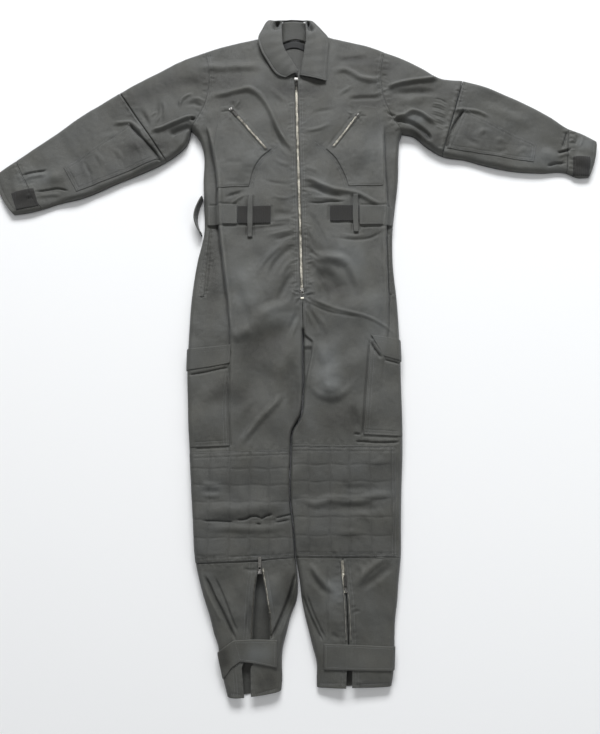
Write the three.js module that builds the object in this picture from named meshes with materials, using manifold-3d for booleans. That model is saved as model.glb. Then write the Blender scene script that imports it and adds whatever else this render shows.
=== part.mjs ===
// Flight suit laid out on its back: a one-piece zipped coverall with collar, chest and cargo pockets,
// waist tabs, quilted knee and elbow patches and strapped ankles.
// Millimetres. X runs to the wearer's left, Y runs from the hems to the collar, Z is up off the surface.
import * as THREE from "three";
import { mergeVertices } from "three/addons/utils/BufferGeometryUtils.js";
import Module from "manifold-3d";

const wasm = await Module();
wasm.setup();

// ---- driving sizes ----
const WALL = 1.5; // body cloth with its seam allowances
const PLY = 1.2; // pieces sewn on top
const GAP = 0.3; // clearance left at every seam
const EDGE_Z = 6; // height of the rolled side edge
const ROLL_TOP = 16; // width over which the upper layer rolls down to the edge
const ROLL_UNDER = 10; // the same for the layer that lies on the surface
const ZIP_HALF = 5; // from the centre line to each front edge
const TOOTH_HALF = 2.6; // half width of the closed row of teeth

// The suit is drawn about its zip and moved by this much, so that the origin is under the middle of its box.
const SHIFT = { x: 7.5, y: -0.8 };

const R = -1; // wearer's right, at negative x
const L = 1; // wearer's left, at positive x

// Outline of the body down each side, the fold where the front turns over the side, and the inner leg.
const BODY_R = [
  { y: 505, out: -273, fold: -233, foldDrop: 4 },
  { y: 477, out: -251, fold: -225, foldDrop: 9 },
  { y: 450, out: -242, fold: -220, foldDrop: 11 },
  { y: 363, out: -239, fold: -201, foldDrop: 12 },
  { y: 302, out: -236, fold: -198, foldDrop: 12 },
  { y: 237, out: -233, fold: -196, foldDrop: 12 },
  { y: 155, out: -248, fold: -184, foldDrop: 12 },
  { y: 59, out: -259, fold: -169, foldDrop: 9 },
  { y: -16, out: -262, fold: -163, foldDrop: 6 },
  { y: -110, out: -263, fold: -164, foldDrop: 4 },
  { y: -181, out: -260, fold: -164, foldDrop: 4 },
  { y: -250, out: -256, fold: -161, foldDrop: 4 },
  { y: -300, out: -252, fold: -160, foldDrop: 3 },
  { y: -386, out: -245, fold: -165, foldDrop: 0 },
  { y: -455, out: -239, fold: -165, foldDrop: 0 },
  { y: -546, out: -230, fold: -165, foldDrop: 0 },
];
const BODY_L = [
  { y: 495, out: 256, fold: 210, foldDrop: 4 },
  { y: 477, out: 250, fold: 210, foldDrop: 7 },
  { y: 450, out: 247, fold: 211, foldDrop: 9 },
  { y: 363, out: 242, fold: 212, foldDrop: 11 },
  { y: 302, out: 234, fold: 213, foldDrop: 11 },
  { y: 237, out: 226, fold: 209, foldDrop: 10 },
  { y: 155, out: 224, fold: 209, foldDrop: 9 },
  { y: 59, out: 231, fold: 209, foldDrop: 8 },
  { y: -16, out: 234, fold: 208, foldDrop: 5 },
  { y: -110, out: 235, fold: 190, foldDrop: 3 },
  { y: -181, out: 235, fold: 182, foldDrop: 3 },
  { y: -250, out: 235, fold: 175, foldDrop: 3 },
  { y: -300, out: 234, fold: 172, foldDrop: 2 },
  { y: -386, out: 229, fold: 170, foldDrop: 0 },
  { y: -455, out: 226, fold: 168, foldDrop: 0 },
  { y: -533, out: 223, fold: 165, foldDrop: 0 },
];
const CROTCH = { x: 7, y: -17 };
const INSEAM = [
  { y: -17, right: 6.5, left: 7.5 },
  { y: -60, right: 6, left: 9 },
  { y: -110, right: 6.5, left: 9 },
  { y: -165, right: 6, left: 8 },
  { y: -221, right: -1.5, left: 2.5 },
  { y: -255, right: -20, left: -15.5 },
  { y: -300, right: -23, left: -18.5 },
  { y: -421, right: -23, left: -18.5 },
  { y: -460, right: -18, left: -13.5 },
  { y: -533, right: -12, left: -7.5 },
];
// Lower legs: outer edge and inner edge of each, from the knee seam to the hem.
const SHIN_R = [
  { yOut: -547, out: -230, yIn: -533.5, in: -12 },
  { yOut: -590, out: -219, yIn: -580, in: -5 },
  { yOut: -622, out: -209, yIn: -622, in: -7 },
  { yOut: -655, out: -197, yIn: -655, in: -20 },
  { yOut: -690, out: -187, yIn: -690, in: -29 },
  { yOut: -722, out: -176, yIn: -721, in: -37 },
  { yOut: -747, out: -175, yIn: -752, in: -39 },
  { yOut: -785, out: -164, yIn: -780, in: -38 },
  { yOut: -820, out: -154, yIn: -807, in: -40 },
];
const SHIN_L = [
  { yOut: -534, out: 223, yIn: -533.5, in: -7.5 },
  { yOut: -590, out: 216, yIn: -580, in: -1 },
  { yOut: -622, out: 213, yIn: -622, in: 4 },
  { yOut: -655, out: 208, yIn: -655, in: 11 },
  { yOut: -690, out: 205, yIn: -690, in: 20 },
  { yOut: -722, out: 204, yIn: -721, in: 28 },
  { yOut: -752, out: 202, yIn: -752, in: 36 },
  { yOut: -785, out: 198, yIn: -780, in: 36 },
  { yOut: -798, out: 195, yIn: -800, in: 36 },
];
// Leg zips: where the two edges run, so that the right one gapes and the left one stays nearly shut.
const GAPE_R = [
  { y: -540, outer: -91, inner: -85 },
  { y: -559, outer: -92, inner: -84 },
  { y: -600, outer: -97, inner: -76 },
  { y: -650, outer: -100, inner: -68 },
  { y: -702, outer: -102, inner: -64 },
  { y: -760, outer: -124, inner: -106 },
  { y: -815, outer: -118, inner: -104 },
];
const GAPE_L = [
  { y: -533, outer: 97, inner: 89 },
  { y: -580, outer: 100, inner: 92 },
  { y: -622, outer: 105, inner: 98 },
  { y: -710, outer: 108, inner: 101 },
  { y: -760, outer: 111, inner: 100 },
  { y: -800, outer: 110, inner: 98 },
];
// Centre line of the front zip from the crotch up.
const CENTRE = [
  { y: -17, x: 7 },
  { y: 62, x: 5 },
  { y: 263, x: 0 },
  { y: 422, x: -5 },
  { y: 645, x: -10 },
  { y: 668, x: -10 },
];
// Sleeves from the armhole to the cuff: upper edge, lower edge, and how far each ring bows to the body.
const SLEEVE_R = [
  { ux: -245, uy: 722, lx: -273, ly: 505, bow: 28 },
  { ux: -310, uy: 696, lx: -284, ly: 464, bow: 22 },
  { ux: -371, uy: 662, lx: -302, ly: 444, bow: 10 },
  { ux: -459, uy: 609, lx: -333, ly: 420, bow: 0 },
  { ux: -507, uy: 576, lx: -393, ly: 388, bow: 0 },
  { ux: -555, uy: 543, lx: -449, ly: 363, bow: 0 },
  { ux: -620, uy: 490, lx: -535, ly: 323, bow: 0 },
  { ux: -668, uy: 454, lx: -598, ly: 306, bow: 0 },
  { ux: -708, uy: 423, lx: -634, ly: 293, bow: -3 },
  { ux: -733, uy: 404, lx: -668, ly: 284, bow: -5 },
  { ux: -758, uy: 383, lx: -701, ly: 279, bow: -8 },
];
const SLEEVE_L = [
  { ux: 219, uy: 725, lx: 256, ly: 495, bow: -30 },
  { ux: 320, uy: 674, lx: 283, ly: 490, bow: -18 },
  { ux: 352, uy: 653, lx: 315, ly: 462, bow: -8 },
  { ux: 416, uy: 645, lx: 354, ly: 436, bow: 0 },
  { ux: 468, uy: 628, lx: 415, ly: 424, bow: 0 },
  { ux: 508, uy: 611, lx: 460, ly: 410, bow: 0 },
  { ux: 577, uy: 577, lx: 535, ly: 394, bow: 0 },
  { ux: 630, uy: 545, lx: 600, ly: 390, bow: 0 },
  { ux: 675, uy: 512, lx: 662, ly: 390, bow: 0 },
  { ux: 708, uy: 497, lx: 688, ly: 378, bow: 3 },
  { ux: 743, uy: 477, lx: 716, ly: 378, bow: 6 },
];
const SLEEVE_SEAM = 3; // row of the seam below the upper sleeve
const CUFF_SEAM = 8; // row of the cuff seam

// Neck: corners where the shoulder seams end, and the front neckline between them and the zip.
const NECK_R = [
  { x: -14, y: 668 },
  { x: -48, y: 690 },
  { x: -66, y: 722 },
  { x: -73, y: 752 },
  { x: -74, y: 774 },
];
const NECK_L = [
  { x: -4, y: 668 },
  { x: 22, y: 690 },
  { x: 34, y: 722 },
  { x: 40, y: 752 },
  { x: 40, y: 778 },
];
const BACK_NECK_DIP = 22;

// Height of the upper layer down the body and along each sleeve.
const BODY_LOFT = [
  { y: 800, z: 24 },
  { y: 620, z: 27 },
  { y: 300, z: 27 },
  { y: 60, z: 28 },
  { y: -200, z: 26 },
  { y: -420, z: 22 },
  { y: -620, z: 20 },
  { y: -830, z: 16 },
];
const SLEEVE_LOFT = [
  { x: 220, z: 27 },
  { x: 420, z: 23 },
  { x: 650, z: 18 },
  { x: 770, z: 15 },
];
// The largest folds: a ridge has a positive height, a trough a negative one.
const FOLDS = [
  { name: "chest arc, outer part", x1: -225, y1: 605, x2: -125, y2: 618, w: 16, h: 5 },
  { name: "chest arc, turn", x1: -125, y1: 618, x2: -70, y2: 575, w: 16, h: 5 },
  { name: "chest arc, inner part", x1: -70, y1: 575, x2: -35, y2: 470, w: 14, h: 4 },
  { name: "right of waist, crossing", x1: 10, y1: 318, x2: 100, y2: 316, w: 10, h: -4 },
  { name: "hip, fanning from the zip", x1: 25, y1: 165, x2: 75, y2: 60, w: 18, h: -5 },
  { name: "hip, across the left thigh", x1: 25, y1: 40, x2: 215, y2: -30, w: 16, h: 4 },
  { name: "crotch, down the left thigh", x1: 20, y1: 30, x2: 45, y2: -120, w: 20, h: 4 },
  { name: "right thigh, slanting", x1: -60, y1: -60, x2: -150, y2: -280, w: 30, h: 4 },
  { name: "right knee", x1: -215, y1: -455, x2: -25, y2: -445, w: 9, h: -5 },
  { name: "left knee", x1: 10, y1: -420, x2: 200, y2: -405, w: 16, h: 3 },
  { name: "left upper sleeve", x1: 225, y1: 625, x2: 345, y2: 655, w: 16, h: 5 },
  { name: "right sleeve end", x1: -690, y1: 405, x2: -640, y2: 418, w: 12, h: -4 },
  { name: "right sleeve underside", x1: -655, y1: 345, x2: -590, y2: 358, w: 12, h: -4 },
  { name: "left sleeve end", x1: 660, y1: 470, x2: 690, y2: 480, w: 10, h: -4 },
];

// Collar: seam on the neckline, roll line and leaf edge, from the right front round the back to the left.
const COLLAR = [
  { sx: -16, sy: 672, rx: -6, ry: 674, rz: 33, ex: -36, ey: 651, ez: 32 },
  { sx: -44, sy: 694, rx: -22, ry: 702, rz: 36, ex: -60, ey: 667, ez: 31 },
  { sx: -62, sy: 724, rx: -36, ry: 730, rz: 38, ex: -82, ey: 693, ez: 31 },
  { sx: -70, sy: 752, rx: -46, ry: 762, rz: 38, ex: -99, ey: 730, ez: 30 },
  { sx: -68, sy: 768, rx: -49, ry: 790, rz: 38, ex: -108, ey: 768, ez: 26 },
  { sx: -52, sy: 764, rx: -46, ry: 811, rz: 34, ex: -82, ey: 816, ez: 18 },
  { sx: -34, sy: 756, rx: -34, ry: 814, rz: 30, ex: -38, ey: 821, ez: 4 },
  { sx: -14, sy: 754, rx: -16, ry: 814, rz: 29, ex: -14, ey: 821.5, ez: 3 },
  { sx: 6, sy: 757, rx: 2, ry: 814, rz: 30, ex: 8, ey: 821, ez: 4 },
  { sx: 22, sy: 765, rx: 12, ry: 810, rz: 34, ex: 34, ey: 812, ez: 16 },
  { sx: 34, sy: 770, rx: 17, ry: 788, rz: 38, ex: 62, ey: 782, ez: 26 },
  { sx: 36, sy: 752, rx: 17, ry: 762, rz: 38, ex: 73, ey: 756, ez: 30 },
  { sx: 30, sy: 724, rx: 14, ry: 732, rz: 38, ex: 74, ey: 714, ez: 32 },
  { sx: 18, sy: 694, rx: 9, ry: 704, rz: 36, ex: 71, ey: 678, ez: 32 },
  { sx: 0, sy: 674, rx: 3, ry: 676, rz: 34, ex: 66, ey: 643, ez: 33 },
];

// Outlines of the sewn-on pieces, each a ring of corners in plan.
const CHEST_POCKET_R = [
  { x: -205, y: 340 },
  { x: -125, y: 345 },
  { x: -121, y: 366 },
  { x: -108, y: 406 },
  { x: -92, y: 428 },
  { x: -51, y: 463 },
  { x: -60, y: 520 },
  { x: -110, y: 575 },
  { x: -200, y: 560 },
  { x: -212, y: 470 },
];
const CHEST_POCKET_L = [
  { x: 204, y: 348 },
  { x: 207, y: 470 },
  { x: 190, y: 560 },
  { x: 100, y: 570 },
  { x: 45, y: 520 },
  { x: 39, y: 466 },
  { x: 75, y: 436 },
  { x: 99, y: 401 },
  { x: 121, y: 346 },
];
const CARGO_POCKET_R = [
  { x: -290, y: -292 },
  { x: -159, y: -288 },
  { x: -164, y: -181 },
  { x: -163, y: -64 },
  { x: -290, y: -74 },
];
const CARGO_POCKET_L = [
  { x: 144, y: -262 },
  { x: 260, y: -268 },
  { x: 260, y: -46 },
  { x: 164, y: -38 },
  { x: 153, y: -158 },
];
const CARGO_FLAP_R = [
  { x: -290, y: -121 },
  { x: -162, y: -97 },
  { x: -161, y: -52 },
  { x: -290, y: -64 },
];
const CARGO_FLAP_L = [
  { x: 192, y: -80 },
  { x: 260, y: -97 },
  { x: 260, y: -44 },
  { x: 168, y: -27 },
];
const KNEE_PATCH_R = [
  { x: -290, y: -548 },
  { x: -222, y: -544.5 },
  { x: 0, y: -531.5 },
  { x: 0, y: -295 },
  { x: -290, y: -304 },
];
const KNEE_PATCH_L = [
  { x: -40, y: -531 },
  { x: 212, y: -531 },
  { x: 216, y: -300 },
  { x: 212, y: -288 },
  { x: -40, y: -284 },
];
const ELBOW_PATCH_R = [
  { x: -549, y: 335 },
  { x: -347, y: 424 },
  { x: -430, y: 522 },
  { x: -585, y: 399 },
];
const ELBOW_PATCH_L = [
  { x: 366, y: 452 },
  { x: 579, y: 414 },
  { x: 590, y: 463 },
  { x: 414, y: 560 },
];
const CUFF_TAB_R = [
  { x: -684, y: 262 },
  { x: -628, y: 292 },
  { x: -655, y: 345 },
  { x: -711, y: 334 },
];
const CUFF_TAB_L = [
  { x: 674, y: 360 },
  { x: 728, y: 360 },
  { x: 722, y: 432 },
  { x: 677, y: 432 },
];
const HIP_WELT_R = [
  { x: -230, y: 66 },
  { x: -214, y: 68 },
  { x: -209, y: 232 },
  { x: -222, y: 232 },
];
const HIP_WELT_L = [
  { x: 213, y: 72 },
  { x: 222, y: 72 },
  { x: 219, y: 224 },
  { x: 212, y: 224 },
];
// Waist: pile patch, tab that fastens on it, and the upright loop that keeps the tab, on each side.
const BELT = [
  { name: "belt_pile_r", x1: -151, x2: -71, y1: 249, y2: 294, lift: GAP, ply: PLY },
  { name: "belt_pile_l", x1: 73, x2: 143, y1: 255, y2: 296, lift: GAP, ply: PLY },
  { name: "belt_tab_r", x1: -227, x2: -151.5, y1: 246, y2: 298, lift: GAP, ply: 2.4 },
  { name: "belt_tab_l", x1: 143.5, x2: 260, y1: 244, y2: 295, lift: GAP, ply: 2.4 },
  { name: "belt_loop_r", x1: -127, x2: -113, y1: 213, y2: 323, lift: 2 * GAP + PLY, ply: PLY },
  { name: "belt_loop_l", x1: 128.5, x2: 142, y1: 226, y2: 323, lift: 2 * GAP + PLY, ply: PLY },
];
const SIDE_LOOP = { x: -239.6, y1: 214, y2: 322, bulge: 15, width: 24, wall: 2 };
// Slanted chest zips and upright leg zips: the slider end first.
const CHEST_ZIPS = [
  { side: "r", x1: -172, y1: 552, x2: -84, y2: 446 },
  { side: "l", x1: 144, y1: 536, x2: 82, y2: 452 },
];
const PULL = { width: 6.5, thick: 1.2, eye: 4.2, eyeEnd: 7.5, rod: 1.3 };
// Sliders: how high the seat of each is over the cloth, the length of its pull and the drop at the pull's tip.
const SLIDERS = [
  { name: "zip_top", x: -9.7, y: 636, turn: Math.PI, seat: 1.2, pull: 16, drop: 3 },
  { name: "zip_bottom", x: 4.9, y: 66, turn: 0, seat: 1.2, pull: 16, drop: 3 },
  { name: "chest_r", x: -172, y: 552, turn: -2.448, seat: 1.8, pull: 24, drop: 0.9 },
  { name: "chest_l", x: 144, y: 536, turn: 2.506, seat: 1.8, pull: 24, drop: 0.9 },
  { name: "leg_r", x: -88, y: -562, turn: 0, seat: 0.3, pull: 30, drop: 1.2 },
  { name: "leg_l", x: 99, y: -600, turn: 0.03, seat: 2.4, pull: 30, drop: 2.6 },
];

// ---- colours ----
const CLOTH = { color: 0x5c5d5a, roughness: 0.85, metalness: 0 };
const QUILT = { color: 0x575855, roughness: 0.88, metalness: 0 };
const PILE = { color: 0x3b3b39, roughness: 0.95, metalness: 0 };
const TAPE = { color: 0x4a4a47, roughness: 0.9, metalness: 0 };
const TEETH = { color: 0xc9c6bb, roughness: 0.35, metalness: 1 };

const suit = new THREE.Group();
const laid = new THREE.Group();
laid.position.set(SHIFT.x, SHIFT.y, 0);
suit.add(laid);

// ---- small helpers ----
const lerp = (a, b, t) => a + (b - a) * t;
const clamp01 = (t) => Math.min(1, Math.max(0, t));
const smooth = (t) => clamp01(t) ** 2 * (3 - 2 * clamp01(t));

// Reads a column of a table at a place between its rows.
function along(table, key, at, column) {
  const rows = [...table].sort((a, b) => a[key] - b[key]);
  if (at <= rows[0][key]) return rows[0][column];
  for (let i = 1; i < rows.length; i += 1) {
    if (at <= rows[i][key]) {
      const t = (at - rows[i - 1][key]) / (rows[i][key] - rows[i - 1][key]);
      return lerp(rows[i - 1][column], rows[i][column], t);
    }
  }
  return rows[rows.length - 1][column];
}

// ---- the outline, all round, from the tables ----
function outlineRing() {
  const ring = [];
  const add = (x, y) => ring.push({ x, y });
  NECK_R.slice(-1).forEach((p) => add(p.x, p.y));
  SLEEVE_R.forEach((s) => add(s.ux, s.uy));
  // the open cuff is carried on so that the cloth does not roll down at its mouth
  add(-790, 358);
  add(-733, 254);
  [...SLEEVE_R].reverse().forEach((s) => add(s.lx, s.ly));
  BODY_R.slice(1).forEach((b) => add(b.out, b.y));
  SHIN_R.forEach((s) => add(s.out, s.yOut));
  add(-148, -850);
  add(-44, -840);
  [...SHIN_R].reverse().forEach((s) => add(s.in, s.yIn));
  [...INSEAM].reverse().forEach((s) => add(s.right, s.y));
  INSEAM.forEach((s) => add(s.left, s.y));
  SHIN_L.slice(1).forEach((s) => add(s.in, s.yIn));
  add(36, -840);
  add(190, -840);
  [...SHIN_L].reverse().forEach((s) => add(s.out, s.yOut));
  [...BODY_L].slice(1).reverse().forEach((b) => add(b.out, b.y));
  SLEEVE_L.forEach((s) => add(s.lx, s.ly));
  add(750, 340);
  add(782, 460);
  [...SLEEVE_L].reverse().forEach((s) => add(s.ux, s.uy));
  NECK_L.slice(-1).forEach((p) => add(p.x, p.y));
  add(60, 880);
  add(-95, 880);
  return ring;
}
const RING = outlineRing();

// Nearest point of the outline: its distance and the way out to it.
function nearest(x, y) {
  let best = { d: Infinity, gx: 0, gy: 0 };
  let inside = false;
  for (let i = 0; i < RING.length; i += 1) {
    const a = RING[i];
    const b = RING[(i + 1) % RING.length];
    const dx = b.x - a.x;
    const dy = b.y - a.y;
    const span = dx * dx + dy * dy || 1e-9;
    const t = clamp01(((x - a.x) * dx + (y - a.y) * dy) / span);
    const px = a.x + t * dx;
    const py = a.y + t * dy;
    const d = Math.hypot(x - px, y - py);
    if (d < best.d) {
      const n = Math.sqrt(span);
      best = { d, gx: d > 1e-3 ? (px - x) / d : dy / n, gy: d > 1e-3 ? (py - y) / d : -dx / n };
    }
    if (a.y > y !== b.y > y && x < a.x + ((y - a.y) / dy) * dx) inside = !inside;
  }
  // just outside, the way out points away from the outline
  if (!inside && best.d > 1e-3) return { d: 0, gx: -best.gx, gy: -best.gy };
  return { ...best, d: inside ? best.d : 0 };
}

// Height of the upper layer away from the edge: loft, side folds and the largest folds.
function loft(x, y) {
  const body = along(BODY_LOFT, "y", y, "z");
  const arm = along(SLEEVE_LOFT, "x", Math.abs(x), "z");
  const shoulder = smooth((Math.abs(x) - 215) / 70) * smooth((y - 380) / 60);
  const onArm = Math.max(shoulder, smooth((Math.abs(x) - 260) / 30));
  let z = lerp(body, arm, onArm);
  const side = x < 0 ? BODY_R : BODY_L;
  if (y < 515 && y > -560) {
    const fold = Math.abs(along(side, "y", y, "fold"));
    const drop = along(side, "y", y, "foldDrop") * smooth((515 - y) / 30);
    z -= drop * (1 - onArm) * smooth((Math.abs(x) - fold + 4) / 8);
  }
  for (const f of FOLDS) {
    const dx = f.x2 - f.x1;
    const dy = f.y2 - f.y1;
    const t = clamp01(((x - f.x1) * dx + (y - f.y1) * dy) / (dx * dx + dy * dy));
    const away = Math.hypot(x - f.x1 - t * dx, y - f.y1 - t * dy) / f.w;
    const ends = smooth(Math.min(t, 1 - t) / 0.2 + 0.35);
    z += away < 1 ? f.h * ends * (1 - smooth(away)) : 0;
  }
  return z;
}

const arch = (u) => Math.sqrt(Math.max(0, 1 - (1 - clamp01(u)) ** 2));
const topZ = (x, y) => EDGE_Z + (loft(x, y) - EDGE_Z) * arch(nearest(x, y).d / ROLL_TOP);
const underZ = (x, y) => EDGE_Z * (1 - arch(nearest(x, y).d / ROLL_UNDER));

// A point of the outer face with its outward normal; under is the face that lies on the surface.
function facePoint(x, y, under = false) {
  const near = nearest(x, y);
  const height = under ? underZ : topZ;
  if (near.d < 0.05) {
    const seam = under ? -GAP / 2 : GAP / 2;
    return { p: [x, y, EDGE_Z + seam], n: [near.gx, near.gy, 0] };
  }
  const s = 0.6;
  const sx = (height(x + s, y) - height(x - s, y)) / (2 * s);
  const sy = (height(x, y + s) - height(x, y - s)) / (2 * s);
  const n = under ? [sx, sy, -1] : [-sx, -sy, 1];
  const len = Math.hypot(...n);
  return { p: [x, y, height(x, y)], n: n.map((v) => v / len) };
}

// ---- solids from grids of face points ----
const moved = (q, by) => q.p.map((v, i) => v + q.n[i] * by);

// A closed wall on a grid: its outer face is moved by `high` along the normals, its inner face by `low`.
function wallGeometry(grid, low, high, ring = false) {
  const rows = grid.length;
  const cols = grid[0].length;
  const points = [];
  const faces = [];
  grid.forEach((row) => row.forEach((q) => points.push(...moved(q, high))));
  grid.forEach((row) => row.forEach((q) => points.push(...moved(q, low))));
  const at = (i, j, inner) => inner * rows * cols + i * cols + (j % cols);
  const quad = (a, b, c, d) => faces.push(a, b, c, a, c, d);
  const across = ring ? cols : cols - 1;
  for (let i = 0; i < rows - 1; i += 1) {
    for (let j = 0; j < across; j += 1) {
      quad(at(i, j, 0), at(i, j + 1, 0), at(i + 1, j + 1, 0), at(i + 1, j, 0));
      quad(at(i, j, 1), at(i + 1, j, 1), at(i + 1, j + 1, 1), at(i, j + 1, 1));
    }
  }
  for (let j = 0; j < across; j += 1) {
    quad(at(0, j, 1), at(0, j + 1, 1), at(0, j + 1, 0), at(0, j, 0));
    quad(at(rows - 1, j, 0), at(rows - 1, j + 1, 0), at(rows - 1, j + 1, 1), at(rows - 1, j, 1));
  }
  for (let i = 0; i < rows - 1 && !ring; i += 1) {
    quad(at(i, 0, 0), at(i + 1, 0, 0), at(i + 1, 0, 1), at(i, 0, 1));
    quad(at(i, cols - 1, 1), at(i + 1, cols - 1, 1), at(i + 1, cols - 1, 0), at(i, cols - 1, 0));
  }
  const geometry = new THREE.BufferGeometry();
  geometry.setAttribute("position", new THREE.BufferAttribute(new Float32Array(points), 3));
  geometry.setIndex(volumeOf(points, faces) < 0 ? [...faces].reverse() : faces);
  return geometry;
}

function volumeOf(points, faces) {
  let six = 0;
  for (let i = 0; i < faces.length; i += 3) {
    const [a, b, c] = [0, 1, 2].map((k) => new THREE.Vector3().fromArray(points, 3 * faces[i + k]));
    six += a.dot(b.cross(c));
  }
  return six / 6;
}

function toSolid(geometry) {
  const bare = geometry.index ? geometry.toNonIndexed() : geometry.clone();
  bare.deleteAttribute("normal");
  bare.deleteAttribute("uv");
  const merged = mergeVertices(bare, 1e-4);
  const triVerts = new Uint32Array(merged.index.array);
  const vertProperties = merged.attributes.position.array;
  return new wasm.Manifold(new wasm.Mesh({ numProp: 3, vertProperties, triVerts }));
}

function fromSolid(solid) {
  const mesh = solid.getMesh();
  const geometry = new THREE.BufferGeometry();
  geometry.setAttribute("position", new THREE.BufferAttribute(new Float32Array(mesh.vertProperties), 3));
  geometry.setIndex([...mesh.triVerts]);
  return geometry;
}

// An upright prism on a ring of corners in plan.
function prism(corners, z1 = -20, z2 = 90) {
  const shape = new THREE.Shape(corners.map((c) => new THREE.Vector2(c.x, c.y)));
  const geometry = new THREE.ExtrudeGeometry(shape, { depth: z2 - z1, bevelEnabled: false });
  return geometry.translate(0, 0, z1);
}

// A piece sewn on a panel: the panel's own points moved out, cut to the piece's outline.
function sewnOn(grid, corners, lift, ply) {
  return fromSolid(toSolid(wallGeometry(grid, lift, lift + ply)).intersect(toSolid(prism(corners))));
}

function add(name, geometry, look, parent = laid) {
  const mesh = new THREE.Mesh(geometry, new THREE.MeshStandardMaterial(look));
  mesh.name = name;
  parent.add(mesh);
  return mesh;
}

// ---- front panels, shoulder to knee ----
// Offsets from each long edge that keep the roll of the cloth round.
const EDGE_STEPS = [0, 3, 10];

// Points of a row from the centre edge to the outer edge, closer together at both edges and at the fold.
function rowPoints(from, fold, to) {
  const span = Math.hypot(to.x - from.x, to.y - from.y);
  const foldAt = clamp01(Math.hypot(fold.x - from.x, fold.y - from.y) / span);
  const stops = [...EDGE_STEPS.map((e) => e / span)];
  const inner = foldAt - 5 / span;
  [1, 2].forEach((k) => stops.push(lerp(10 / span, inner, k / 3)));
  stops.push(inner, foldAt + 5 / span);
  stops.push(...[...EDGE_STEPS].reverse().map((e) => 1 - e / span));
  return stops.map((t) => ({ x: lerp(from.x, to.x, t), y: lerp(from.y, to.y, t) }));
}

// Armhole from shoulder to armpit, moved by `off` towards the sleeve and a little more at the armpit corner.
function armhole(side, t, off = 0) {
  const s = (side < 0 ? SLEEVE_R : SLEEVE_L)[0];
  return ringPoint(s, t, off * side * (1 + 6 * smooth((t - 0.9) / 0.1)));
}

// A point across a sleeve ring, from its upper edge (0) to its lower edge (1).
function ringPoint(s, t, shift = 0) {
  const dx = s.lx - s.ux;
  const dy = s.ly - s.uy;
  const len = Math.hypot(dx, dy);
  const bow = s.bow * 4 * t * (1 - t);
  return { x: s.ux + dx * t - (dy / len) * bow + shift, y: s.uy + dy * t + (dx / len) * bow };
}

const TORSO_ROWS = [-16, 40, 107, 172, 237, 302, 365, 420, 463];
const LEG_ROWS = [-300, -235, -165, -105, -55];
const KNEE_ROWS = [
  { in: -533, out: { "-1": -546, 1: -533 } },
  { in: -500, out: { "-1": -510, 1: -500 } },
  { in: -465, out: { "-1": -475, 1: -462 } },
  { in: -452, out: { "-1": -460, 1: -440 } },
  { in: -438, out: { "-1": -445, 1: -415 } },
  { in: -400, out: { "-1": -405, 1: -390 } },
  { in: -350, out: { "-1": -352, 1: -345 } },
];
// Places across a sleeve ring from its upper edge to its lower edge; the armhole shares them.
const RING_STOPS = [0, 0.02, 0.07, 0.17, 0.34, 0.56, 0.78, 0.93, 0.98, 1];
const ARMHOLE_ROWS = [
  { neck: 0, y: 505, arm: 1 },
  { neck: 0, y: 516, arm: 0.98 },
  { neck: 0, y: 532, arm: 0.93 },
  { neck: 0, y: 572, arm: 0.78 },
  { neck: 0, y: 618, arm: 0.56 },
  { neck: 0, y: 660, arm: 0.34 },
  { neck: 0.3, arm: 0.17 },
  { neck: 0.7, arm: 0.07 },
  { neck: 0.93, arm: 0.02 },
  { neck: 1, arm: 0 },
];

function neckPoint(side, t) {
  const line = side < 0 ? NECK_R : NECK_L;
  const k = Math.min(line.length - 2, Math.floor(t * (line.length - 1)));
  const f = t * (line.length - 1) - k;
  return { x: lerp(line[k].x, line[k + 1].x, f), y: lerp(line[k].y, line[k + 1].y, f) };
}

function frontGrid(side) {
  const body = side < 0 ? BODY_R : BODY_L;
  const inseam = side < 0 ? "right" : "left";
  const outer = (y) => ({ x: along(body, "y", y, "out"), y });
  const fold = (y) => ({ x: along(body, "y", y, "fold"), y });
  const inner = (y) => ({ x: along(INSEAM, "y", y, inseam), y });
  const centre = (y) => ({ x: along(CENTRE, "y", y, "x") + side * ZIP_HALF, y });
  const rows = [];
  KNEE_ROWS.forEach((k) => {
    const out = outer(k.out[side]);
    rows.push(rowPoints(inner(k.in), { x: fold(out.y).x, y: lerp(k.in, out.y, 0.7) }, out));
  });
  LEG_ROWS.forEach((y) => rows.push(rowPoints(inner(y), fold(y), outer(y))));
  TORSO_ROWS.forEach((y) => {
    const from = y < 0 ? { x: CROTCH.x + side * (ZIP_HALF - 0), y } : centre(y);
    rows.push(rowPoints(from, fold(y), outer(y)));
  });
  ARMHOLE_ROWS.forEach((a) => {
    const from = a.neck > 0 ? neckPoint(side, a.neck) : centre(a.y);
    const to = armhole(side, a.arm, -GAP / 2);
    const at = { x: lerp(from.x, to.x, 0.82), y: lerp(from.y, to.y, 0.82) };
    rows.push(rowPoints(from, at, to));
  });
  return rows.map((row) => row.map((q) => facePoint(q.x, q.y)));
}
const frontR = frontGrid(R);
const frontL = frontGrid(L);
add("front_r", wallGeometry(frontR, -WALL, 0), CLOTH);
add("front_l", wallGeometry(frontL, -WALL, 0), CLOTH);

// Both fronts side by side above the crotch, for what bridges the centre.
const TORSO_FROM = KNEE_ROWS.length + LEG_ROWS.length;
const torsoWide = frontR.slice(TORSO_FROM).map((row, i) => [...row].reverse().concat(frontL[TORSO_FROM + i]));

// ---- back: torso, then each leg ----
const UNDER_STEPS = [0, 3, 11];

function underRow(from, to) {
  const span = Math.hypot(to.x - from.x, to.y - from.y);
  const stops = UNDER_STEPS.map((e) => e / span);
  [0.36, 0.64].forEach((k) => stops.push(k));
  stops.push(...[...UNDER_STEPS].reverse().map((e) => 1 - e / span));
  return stops.map((t) => ({ x: lerp(from.x, to.x, t), y: lerp(from.y, to.y, t), t }));
}

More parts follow.
